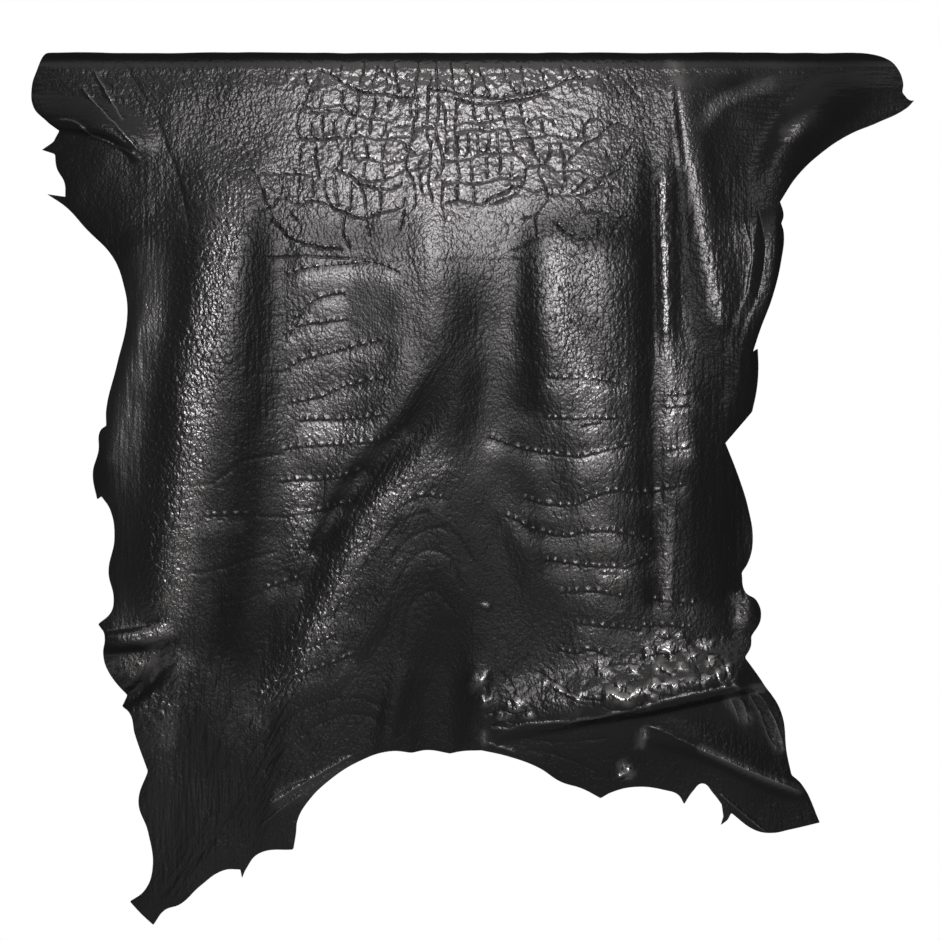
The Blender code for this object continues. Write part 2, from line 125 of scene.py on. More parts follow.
# A fold is a ridge, or with negative heights a trough, along a path of (x, fall, height).
# crest is half the width of its flat top. Its two flanks are near_flank, to the left of a
# fold that runs down or below one that runs to the right, and far_flank on the other side.
# All in mm.
Fold = namedtuple("Fold", "name crest near_flank far_flank path")
FOLDS = (
    Fold("left foreleg crease", 3, 9, 30, (
        (-477, 77, 6), (-437, 84, 8), (-397, 92, 8), (-372, 109, 6), (-359, 128, 0))),
    Fold("right foreleg ridge", 3, 30, 34, (
        (489, 32, 1), (449, 46, 5), (414, 74, 8), (389, 99, 8), (369, 147, 5), (360, 187, 0))),
    Fold("right flank curl", 4, 18, 12, (
        (360, 176, 0), (363, 216, 8), (357, 274, 9), (337, 326, 6), (330, 389, 4), (316, 435, 0))),
    Fold("right edge lobe", 2, 14, 12, ((325, 620, 0), (337, 636, 3), (336, 655, 3), (322, 670, 0))),
    Fold("pouch lip", 4, 13, 56, (
        (33, 789, 0), (63, 777, 6), (121, 767, 10), (167, 758, 13), (224, 749, 15), (282, 736, 15),
        (330, 725, 12), (351, 720, 8))),
    Fold("right leg fold", 4, 12, 30, (
        (213, 780, 0), (270, 797, 5), (316, 815, 6), (368, 840, 6), (397, 849, 4))),
    Fold("left thigh ridge", 4, 12, 11, ((-414, 682, 6), (-380, 677, 8), (-351, 672, 6), (-325, 663, 0))),
    Fold("left thigh pinch", 3, 12, 12, (
        (-385, 749, -8), (-362, 734, -8), (-342, 713, -4), (-328, 693, 0))),
    Fold("centre drape left", 2, 24, 24, ((-58, 584, 0), (-81, 630, 1.5), (-121, 688, 2), (-161, 745, 0))),
    Fold("centre drape arc", 2, 26, 26, (
        (-69, 653, 0), (-52, 613, 0.6), (-23, 590, 0.8), (6, 613, 0.6), (23, 653, 0.5), (29, 699, 0))),
    Fold("centre drape right", 2, 28, 28, ((52, 515, 0), (75, 550, 2), (92, 596, 2), (98, 642, 0))),
    Fold("core hollow", 8, 40, 30, ((-17, 650, 0), (-17, 720, -3), (-17, 800, -4))),
    Fold("core left bank", 2, 16, 16, ((-58, 700, 0), (-70, 745, 2), (-80, 800, 2))),
    Fold("core right bank", 2, 18, 14, ((24, 695, 0), (29, 730, 2), (27, 790, 2))),
    Fold("left fold behind", 10, 50, 50, ((-100, -100, 0), (-110, -200, 6), (-120, -410, 12))),
    Fold("right fold behind", 10, 50, 50, ((60, -120, 0), (75, -250, 6), (80, -410, 11))),
)

# Lines that run down the front flap from the crest: at each row, the column and the stand-off
# in mm. Between them the surface is one smooth curve across, level at its ridges and hollows.
LINE_ROWS = (52, 100, 150, 200, 260, 330, 400, 460, 520, 580, 640, 700, 760, 830, 930)
Line = namedtuple("Line", "columns heights rows", defaults=(LINE_ROWS,))
LINES = {
    "left edge": Line(
        (20, 15, 30, 60, 108, 118, 98, 92, 100, 96, 90, 110, 130, 130, 125),
        (0, 0, 2, 4, 7, 10, 11, 10, 9, 8, 8, 6, 5, 4, 3)),
    "left swell": Line(
        (60, 60, 80, 110, 145, 138, 124, 110, 112, 112, 120, 135, 150, 150, 145),
        (0, 2, 4, 6, 11, 16.5, 17.5, 16.5, 12, 10, 12, 10, 7, 5, 3)),
    "left dip": Line(
        (120, 120, 135, 155, 168, 160, 148, 138, 132, 130, 150, 160, 175, 170, 165),
        (0, 2, 3.5, 6, 12.5, 16.5, 17.5, 16.5, 14, 12, 11, 9, 7, 5, 3)),
    "roll left": Line(
        (200, 205, 212, 222, 205, 196, 190, 184, 176, 168, 172, 185, 200, 195, 185),
        (0, 2.5, 6, 12, 19, 23, 24, 23, 20.5, 17.5, 14, 11, 8, 6, 4)),
    "roll right": Line(
        (235, 240, 248, 250, 232, 222, 214, 207, 198, 190, 190, 200, 215, 210, 200),
        (0, 2.5, 6, 13, 20, 24, 23.5, 21.5, 18.5, 16, 13.5, 11, 8, 6, 4)),
    "panel foot": Line(
        (275, 275, 278, 280, 282, 284, 288, 290, 288, 276, 258, 250, 250, 235, 220),
        (0, 2.5, 5.5, 9, 11, 11.5, 11.5, 11.5, 10, 8.5, 7, 6, 6, 5, 4)),
    "panel middle": Line(
        (330, 330, 330, 335, 340, 345, 340, 325, 308, 288, 266, 257, 256, 241, 226),
        (0, 2.5, 5.5, 9.5, 12, 11, 11, 11, 9.5, 8, 6.5, 6, 6, 5, 4)),
    "trough rim": Line(
        (395, 395, 395, 400, 405, 415, 405, 350, 318, 294, 272, 262, 262, 248, 233),
        (0, 2.5, 6, 10, 13.5, 15, 15, 13, 10, 8.5, 7, 6.5, 6, 5, 4)),
    "trough": Line(
        (425, 425, 428, 430, 432, 435, 432, 378, 330, 303, 280, 268, 266, 254, 241),
        (0, 3, 6.5, 11, 15, 16, 13, 9, 8, 7.5, 7.5, 7, 6, 5, 4)),
    "trough ridge": Line(
        (455, 455, 455, 458, 458, 458, 455, 425, 368, 344, 316, 294, 286, 270, 255),
        (0, 2.5, 6, 10, 13.5, 14, 14, 15, 14.5, 13.5, 12, 10.5, 8, 6, 4)),
    "back slope": Line(
        (490, 490, 490, 490, 490, 490, 488, 480, 450, 430, 410, 400, 390, 380, 370),
        (0, 2.5, 6, 9.5, 12, 11, 11, 12.5, 12, 10, 8, 7, 6, 5, 4)),
    "ridge foot": Line(
        (515, 515, 515, 512, 512, 512, 520, 532, 540, 540, 540, 500, 480, 470, 460),
        (0, 2.5, 6, 9, 11.5, 12, 12.5, 12.5, 12.5, 12, 9, 8, 6, 5, 4)),
    "right ridge left": Line(
        (550, 550, 550, 548, 548, 552, 566, 580, 588, 590, 585, 560, 545, 540, 530),
        (0, 2.5, 6, 11.5, 16.5, 18.5, 19, 18, 17, 15.5, 13, 13, 8, 5, 4)),
    "right ridge right": Line(
        (590, 590, 592, 596, 598, 600, 602, 608, 612, 612, 612, 605, 600, 600, 600),
        (0, 2.5, 6, 11.5, 16.5, 18.5, 19.5, 19, 18, 16.5, 14.5, 15, 9, 6, 4)),
    "right ridge foot": Line(
        (640, 640, 640, 641, 642, 642, 644, 646, 648, 646, 646, 650, 650, 650, 650),
        (0, 2.5, 5.5, 9, 12, 14, 15, 15, 14.5, 14, 15, 17, 9, 6, 4)),
    "narrow valley": Line(
        (652, 652, 652, 653, 654, 655, 656, 657, 657, 655, 656, 665, 665, 662, 662),
        (0, 2.4, 5.0, 7.2, 9.5, 11.5, 14, 14.5, 13.5, 13, 14.5, 17.5, 9, 6, 4)),
    "narrow ridge": Line(
        (660, 660, 662, 663, 664, 665, 668, 669, 668, 666, 668, 680, 680, 675, 675),
        (0, 2.5, 6, 9.5, 12.5, 14, 15.5, 16, 15, 14.5, 16, 18, 9, 6, 4)),
    "narrow foot": Line(
        (668, 672, 676, 678, 680, 682, 694, 694, 690, 688, 690, 700, 700, 700, 700),
        (0, 2.5, 5.0, 6.8, 9.5, 11.5, 15.5, 15.5, 14.5, 13.5, 15, 18, 9, 6, 4)),
    "shoulder ridge": Line(
        (674, 678, 686, 697, 708, 722, 728, 722, 716, 714, 718, 730, 730, 730, 730),
        (0, 5, 8, 10.5, 14, 15, 14, 13, 12, 12, 13, 17, 9, 6, 4)),
    "flank dip": Line(
        (692, 702, 716, 728, 738, 747, 745, 738, 734, 736, 742, 755, 760, 765, 765),
        (0, 3.5, 5.5, 8, 11, 12, 10.5, 10, 8, 8, 10, 14, 8, 6, 4)),
    "right edge": Line(
        (760, 770, 775, 772, 772, 765, 760, 745, 752, 752, 760, 775, 785, 800, 800),
        (0, 3, 5, 8, 11, 9, 7, 6, 5, 6, 9, 8, 7, 6, 4)),
    "foreleg end": Line((930, 925, 900, 850, 840, 840), (0, 2, 2, 3, 3, 3),
                        LINE_ROWS[:5] + LINE_ROWS[-1:]),
}

# Swells over the whole hide: cell size across and along, height, all in mm, and random seed.
WAVES = ((55.0, 75.0, 0.8, 21), (22.0, 30.0, 0.35, 22), (16.0, 18.0, 0.22, 23))

# The sides' points lie on grids of so many squares. The middle and fine ones are for places
# that bend by at least so many metres, and the middle one also for the surround of creases.
COARSE_GRID, MIDDLE_GRID, FINE_GRID, FLESH_GRID = 6, 3, 2, 9
MIDDLE_BEND, FINE_BEND, FLESH_BEND = 0.00018, 0.00026, 0.00035
SURROUND = 4
EDGE_REACH = 0.0045
EDGE_MARGIN = 0.0014
EDGE_ROUND = 0.0004

# All creases: the points along them, how they wander, end and fade, their beads, and the
# shapes of the swell below them, the puffed leather beside them and the banks of raised lines.
CREASE_SEED = 11
CREASE_STEP = 0.0011
POINT_GAP = 0.0007
WANDER = 0.0007
TAPER = 0.0011
BEAD_PITCH = 0.0098
BEAD_DRIFT = 0.30
BEAD_OUT = 0.0026
BEAD_WIDTH = 0.0012
FADE = 0.35
FADE_PITCH = 0.055
FADE_STARTS = 7.0
V_CURVE = 1.2
SWELL_NEAR = 0.012
SWELL_FAR = 0.030
PUFF_REACH = 0.0065
PUFF_SHARE = 0.45
SHOULDER = 0.45
SHOULDER_OUT = 1.9

# Paths of the creases in the grain, given as (column, row). They run down or right.
NECK_FURROWS = (
    ((319, 72), (329, 75), (340, 83), (357, 92), (367, 95), (378, 94), (387, 96), (402, 100), (415, 99)),
    ((429, 91), (448, 92), (460, 96), (473, 97), (489, 99), (500, 100), (509, 97), (533, 94), (551, 89),
     (568, 81), (587, 80)),
    ((456, 100), (467, 104), (480, 105), (493, 105), (509, 103), (525, 101), (539, 97), (549, 96)),
    ((316, 148), (315, 158), (317, 168), (319, 178)),
    ((297, 139), (313, 141), (326, 141), (340, 139), (353, 139)),
    ((335, 170), (342, 174), (353, 179), (360, 186), (369, 188), (378, 191), (397, 189), (401, 184)),
    ((329, 205), (335, 211), (344, 214), (353, 218), (365, 220), (381, 214)),
    ((272, 221), (284, 233), (289, 240), (305, 246), (325, 250), (342, 251)),
    ((485, 204), (496, 197), (504, 195), (512, 189), (521, 188)),
    ((553, 223), (560, 231), (569, 237), (580, 241), (592, 241)),
)
CELL_WALLS = (
    ((418, 60), (417, 78), (415, 92), (417, 100), (416, 118), (413, 126), (413, 134), (409, 146),
     (408, 154), (405, 166), (408, 174), (413, 182), (415, 201), (414, 210)),
    ((431, 76), (431, 84), (428, 92), (428, 107), (427, 118), (427, 136), (430, 145), (431, 166)),
    ((436, 60), (437, 78), (437, 89), (439, 100), (439, 113), (436, 129), (437, 140), (441, 152),
     (443, 161), (441, 173), (436, 180)),
    ((441, 102), (445, 114), (445, 124), (447, 138), (446, 155)),
    ((450, 62), (452, 80), (453, 91), (457, 104), (456, 119), (455, 136)),
    ((364, 60), (364, 69), (361, 77), (359, 90), (358, 108), (356, 115), (348, 122), (344, 134)),
    ((378, 66), (375, 76), (372, 83), (364, 91)), ((341, 64), (340, 76), (338, 83)),
    ((375, 76), (381, 73), (388, 77), (399, 80), (410, 83), (415, 80)), ((386, 78), (386, 91)),
    ((394, 64), (395, 77), (398, 95)), ((302, 72), (305, 80), (308, 86), (314, 83), (317, 76)),
    ((309, 89), (306, 100), (301, 108), (297, 120), (297, 132), (300, 138)),
    ((301, 109), (313, 109), (324, 108), (342, 106)), ((308, 114), (324, 113), (344, 112)),
    ((342, 90), (342, 104), (349, 115), (358, 117), (368, 119), (380, 121), (388, 122)),
    ((374, 98), (374, 109), (371, 119), (370, 130), (369, 138)), ((389, 101), (388, 113)),
    ((410, 101), (410, 118)), ((310, 124), (311, 138)), ((322, 115), (322, 127), (323, 140)),
    ((334, 122), (333, 137)), ((355, 121), (355, 137)), ((385, 122), (384, 132), (381, 139)),
    ((395, 128), (403, 128), (411, 126)),
    ((353, 139), (360, 137), (369, 139), (381, 141), (389, 140), (400, 138), (410, 138)),
    ((304, 144), (300, 152), (299, 168)), ((335, 142), (340, 152), (340, 160), (337, 170)),
    ((352, 142), (351, 152), (358, 162), (367, 160), (377, 163), (388, 165), (406, 161)),
    ((363, 141), (366, 150), (368, 160)), ((381, 142), (383, 152), (382, 163)),
    ((395, 142), (403, 145), (408, 154)), ((365, 163), (363, 179)), ((381, 165), (384, 181)),
    ((353, 180), (369, 183), (382, 181), (392, 179), (398, 175), (405, 171)),
    ((264, 174), (283, 176), (300, 176), (316, 178)), ((283, 177), (281, 198)),
    ((324, 180), (325, 195), (331, 206)), ((335, 178), (335, 190), (338, 209)),
    ((350, 182), (351, 196), (349, 214)), ((361, 188), (365, 202), (366, 218)), ((380, 192), (380, 213)),
    ((381, 214), (392, 212), (401, 209), (404, 200)), ((300, 178), (297, 195), (299, 206)),
    ((312, 180), (313, 200)), ((264, 212), (274, 208), (281, 199), (297, 206), (312, 203), (328, 206)),
    ((417, 110), (428, 109)), ((414, 131), (427, 128), (437, 131)), ((408, 150), (418, 156), (430, 150)),
    ((420, 160), (419, 178), (423, 198)), ((431, 168), (428, 182), (432, 205)),
    ((443, 182), (442, 204), (446, 222)), ((405, 172), (420, 170), (431, 166)),
    ((464, 66), (471, 79), (472, 96)), ((479, 68), (484, 83), (491, 97)),
    ((503, 66), (505, 79), (511, 87), (515, 94)), ((521, 66), (523, 81), (528, 93)),
    ((541, 72), (545, 83), (548, 90)), ((560, 66), (564, 80)), ((572, 69), (580, 79)),
    ((472, 105), (475, 121)), ((486, 107), (487, 122)),
    ((497, 105), (503, 113), (505, 123), (508, 135), (511, 144), (515, 155), (523, 161), (526, 168)),
    ((520, 103), (521, 113), (525, 127), (528, 136), (533, 144), (533, 153), (539, 163), (539, 176),
     (545, 189), (547, 201), (540, 211), (533, 217), (521, 221)),
    ((456, 126), (467, 123), (479, 125), (493, 122), (507, 120), (515, 118), (524, 120)),
    ((459, 132), (473, 131), (486, 133), (500, 130), (508, 131)),
    ((527, 124), (539, 118), (549, 120), (555, 126)), ((541, 121), (542, 130), (545, 137)),
    ((500, 141), (512, 142), (520, 141), (532, 139), (545, 137), (556, 136), (560, 143), (561, 152),
     (565, 163), (562, 171), (557, 173), (552, 169), (545, 167), (533, 167), (526, 168)),
    ((457, 136), (457, 158)), ((467, 133), (468, 150), (464, 160)), ((478, 133), (478, 149), (481, 155)),
    ((489, 134), (488, 148), (486, 155)), ((497, 132), (497, 154)),
    ((445, 163), (453, 163), (463, 161), (472, 159), (481, 155), (493, 155), (514, 154)),
    ((457, 164), (460, 181)), ((471, 161), (472, 184)), ((486, 157), (487, 181)), ((500, 156), (500, 178)),
    ((512, 163), (511, 179)), ((525, 170), (523, 183), (520, 192)), ((548, 139), (550, 152), (545, 166)),
    ((442, 186), (455, 183), (475, 186), (500, 179), (512, 181), (524, 178)),
    ((489, 206), (500, 203), (515, 196), (522, 190), (534, 193), (544, 190)),
    ((445, 205), (460, 202), (474, 206), (487, 204)), ((457, 185), (458, 202)), ((473, 187), (473, 205)),
    ((567, 163), (576, 153), (587, 144), (599, 139), (604, 130), (600, 121), (592, 121), (585, 126),
     (584, 133), (589, 140)),
    ((556, 137), (570, 141), (587, 137)), ((604, 131), (616, 125), (628, 128)),
    ((581, 172), (591, 177), (600, 180), (609, 177), (622, 170)), ((566, 172), (581, 172)),
    ((547, 197), (560, 197), (581, 197), (591, 193), (600, 189), (616, 188)),
    ((571, 196), (577, 190), (584, 184), (589, 178)), ((563, 172), (564, 184), (560, 196)),
    ((600, 181), (598, 189)), ((587, 215), (593, 213), (607, 216), (620, 220), (628, 217)),
    ((618, 222), (609, 240)), ((631, 147), (627, 155), (620, 161)), ((512, 253), (525, 245), (538, 240)),
    ((606, 152), (612, 168)), ((575, 199), (586, 214)), ((533, 218), (536, 240)), ((600, 218), (598, 238)),
    ((600, 80), (607, 91)), ((609, 79), (620, 96)), ((620, 76), (629, 87), (640, 101)),
    ((629, 76), (638, 90)), ((262, 259), (300, 258), (350, 260)),
    ((240, 173), (252, 172), (262, 188), (268, 207)), ((345, 216), (343, 236), (350, 250)),
    ((366, 221), (370, 238)), ((290, 215), (300, 228), (296, 243)), ((404, 212), (400, 232)),
    ((584, 686), (594, 676), (613, 665), (631, 664), (642, 668)),
    ((640, 660), (656, 655), (671, 655), (682, 651)), ((685, 645), (691, 659), (697, 676), (700, 692)),
    ((704, 657), (713, 672), (718, 686)), ((621, 688), (631, 682), (640, 676)),
    ((655, 666), (664, 674), (676, 671)), ((641, 688), (645, 700)), ((667, 686), (671, 696)),
    ((722, 660), (726, 676)), ((601, 706), (613, 710), (634, 709), (642, 702)),
    ((536, 672), (557, 684), (578, 697), (600, 701)), ((502, 672), (514, 690), (510, 708)),
    ((484, 716), (500, 711), (516, 714), (530, 711)), ((488, 728), (502, 722), (518, 724)),
)
GROWTH_LINES = (
    ((285, 278), (300, 272), (330, 268), (355, 266), (370, 264), (400, 275)),
    ((296, 325), (303, 312), (315, 303), (330, 298), (345, 296)),
    ((283, 338), (296, 330), (305, 327), (323, 325), (348, 322)),
    ((283, 374), (303, 362), (325, 357), (345, 351), (370, 345), (380, 343)),
    ((290, 405), (303, 403), (325, 398), (340, 391), (362, 384), (388, 381)),
    ((300, 423), (340, 422), (365, 420), (385, 417)),
    ((283, 452), (300, 449), (340, 447), (375, 443), (395, 433), (403, 425)),
    ((278, 484), (300, 482), (320, 482), (345, 478), (365, 470)),
    ((290, 517), (313, 514), (335, 508), (355, 503)), ((290, 550), (315, 550)),
    ((265, 592), (275, 587), (300, 580)), ((370, 498), (393, 490), (407, 482)),
    ((203, 518), (222, 517), (245, 516)), ((335, 574), (345, 576), (358, 568)),
    ((322, 595), (335, 593), (352, 600)), ((545, 378), (560, 381), (600, 382), (630, 390)),
    ((545, 420), (560, 421), (600, 421), (625, 420)), ((580, 429), (600, 425)),
    ((488, 440), (510, 447), (535, 454), (562, 457), (580, 459), (595, 455), (628, 447)),
    ((665, 453), (692, 449)),
    ((524, 500), (545, 506), (572, 508), (590, 500), (617, 493), (644, 495), (665, 491), (685, 486)),
    ((503, 517), (520, 524), (534, 532), (556, 537), (572, 538), (588, 533), (618, 534), (640, 539),
     (655, 543)),
    ((545, 562), (575, 566), (603, 569), (630, 568), (650, 556)), ((600, 575), (620, 575)),
    ((560, 594), (591, 593), (613, 597), (625, 599)), ((648, 600), (667, 603), (695, 606)),
    ((576, 625), (597, 627), (640, 632)), ((640, 628), (667, 627), (690, 630)),
    ((655, 636), (668, 640), (686, 638)), ((262, 698), (275, 684), (300, 676), (330, 666), (352, 656)),
    ((288, 656), (310, 648), (335, 636)), ((300, 628), (325, 618), (345, 606)),
    ((342, 556), (362, 545), (380, 527)), ((398, 510), (420, 498), (445, 500)),
    ((665, 398), (685, 397), (692, 394)), ((664, 410), (690, 408)),
    ((560, 652), (575, 655), (590, 651), (606, 657)), ((552, 690), (566, 697), (584, 705)),
)
FINE_FOLDS = (
    ((172, 486), (203, 486), (218, 481), (240, 464), (262, 458), (284, 455)),
    ((250, 378), (268, 374), (284, 373)), ((248, 517), (275, 518), (290, 518)),
    ((190, 574), (222, 570), (250, 560), (275, 553)), ((212, 604), (240, 601), (262, 594)),
    ((724, 592), (730, 605), (727, 622)), ((742, 606), (752, 622)),
    ((385, 640), (392, 600), (405, 570), (425, 552), (450, 560), (462, 590)),
    ((400, 660), (404, 625), (415, 600), (435, 592), (452, 610)),
    ((340, 660), (365, 620), (385, 580), (400, 548), (430, 530), (455, 535), (472, 560)),
    ((330, 620), (355, 580), (378, 548), (405, 520), (430, 512)),
    ((250, 752), (300, 712), (350, 698), (392, 712)), ((262, 770), (310, 730), (355, 714), (395, 730)),
    ((222, 775), (238, 740), (262, 705)), ((205, 780), (222, 735), (232, 700)),
    ((188, 740), (198, 700), (210, 660)), ((200, 750), (212, 700), (226, 655)),
    ((180, 880), (215, 840), (240, 800)), ((160, 900), (190, 865), (225, 835)),
    ((124, 62), (138, 88), (150, 107)), ((152, 108), (168, 150), (184, 200), (192, 250)),
    ((110, 640), (140, 646), (166, 640)), ((150, 655), (140, 680), (128, 696)),
    ((200, 262), (230, 260), (262, 259)), ((350, 260), (390, 262), (440, 262), (535, 261)),
    ((520, 738), (560, 742), (606, 738)), ((528, 750), (560, 756), (596, 772)), ((660, 745), (668, 770)),
)
RAISED_THREADS = (
    ((60, 121), (75, 124), (90, 135), (105, 142), (130, 153), (140, 160)),
    ((82, 88), (90, 99), (110, 120), (130, 142), (138, 152)), ((94, 72), (106, 94), (122, 120)),
    ((490, 728), (510, 729), (525, 724), (570, 721), (620, 712), (660, 701), (700, 692), (735, 685)),
    ((616, 778), (622, 776), (630, 769)), ((484, 734), (485, 744)), ((720, 795), (740, 812), (766, 833)),
    ((488, 744), (513, 752)), ((350, 757), (318, 775), (272, 803)),
)
FINE_THREADS = (
    ((752, 688), (766, 705), (776, 726), (784, 750)), ((746, 692), (758, 712), (768, 738), (776, 748)),
    ((728, 698), (733, 706), (738, 722)), ((738, 698), (744, 708), (747, 722)),
    ((758, 210), (764, 250), (757, 300)), ((744, 225), (750, 255), (744, 295)),
    ((270, 800), (290, 786), (306, 780)), ((262, 825), (285, 806), (300, 796)),
    ((646, 727), (660, 730), (690, 745), (720, 758), (768, 779), (795, 790)),
)

# The kinds of crease. A raised line has a negative depth. breaks is how far the line breaks up
# along its length, above and below are the heights of the beads on its two sides, and swell is
# how far the leather below it stands out. steps are the offsets of the points that follow the
# line. Everything but breaks is in mm.
Crease = namedtuple("Crease", "half_width depth breaks above below swell steps paths")
CREASES = (
    Crease(1.5, 0.85, 0.35, 0.90, 0.60, 0.00, (-4.2, -2.7, -1.4, 1.4, 2.7, 4.2), NECK_FURROWS),
    Crease(1.1, 0.55, 0.20, 0.50, 0.28, 0.00, (-2.5, -1.1, 1.1, 2.5), CELL_WALLS),
    Crease(1.4, 0.38, 0.50, 0.95, 0.20, 0.35, (-3.8, -2.6, -1.4, 1.4), GROWTH_LINES),
    Crease(1.7, 0.30, 0.20, 0.00, 0.00, 0.00, (-1.7, 1.7), FINE_FOLDS),
    Crease(1.4, -0.80, 0.10, 0.00, 0.00, 0.00, (-2.3, -1.1, 1.1, 2.3), RAISED_THREADS),
    Crease(0.9, -0.50, 0.30, 0.00, 0.00, 0.00, (-1.5, -0.7, 0.7, 1.5), FINE_THREADS),
)

# Puffed lumps in the pouch: (column, row, radius in squares, height in mm).
LUMPS = (
    (615, 698, 13, 3.0), (627, 700, 11, 2.6), (620, 684, 9, 1.8), (636, 690, 10, 2.2), (648, 653, 11, 2.2),
    (667, 652, 10, 2.0), (661, 668, 11, 1.8), (654, 685, 11, 2.4), (668, 686, 10, 1.8), (651, 699, 9, 1.4),
    (690, 680, 10, 2.2), (705, 681, 10, 2.2), (691, 654, 8, 1.6), (732, 682, 10, 2.2), (718, 678, 9, 1.6),
    (603, 669, 10, 1.6), (634, 668, 8, 1.4), (680, 668, 9, 1.6), (710, 662, 9, 1.6), (726, 666, 8, 1.2),
    (480, 684, 13, 2.4), (486, 702, 11, 1.8), (513, 706, 10, 1.4), (528, 716, 8, 1.2), (486, 608, 7, 1.5),
    (545, 680, 8, 0.9), (560, 690, 8, 0.9), (578, 700, 8, 1.0), (500, 718, 9, 1.2), (680, 640, 7, 1.2),
    (660, 636, 7, 1.2), (706, 644, 7, 1.0), (643, 738, 6, 1.2), (626, 772, 7, 1.3),
)
LUMP_STRETCH = 1.25
LUMP_WARP = 0.005
LUMP_WARP_CELL = 0.008
LUMP_WARP_SEEDS = (31, 32)

# How the relief changes the gloss: lumps and raised places gain painted highlights, the raised ones partly
# also burnish, and grooves get painted shade.
LUMP_PAINTED_HIGHLIGHT = 1.5
RISE = 0.0004
BURNISH_AND_HIGHLIGHT = 2.2
GLINT = 0.8
HOLLOW_DEPTH = 0.00045

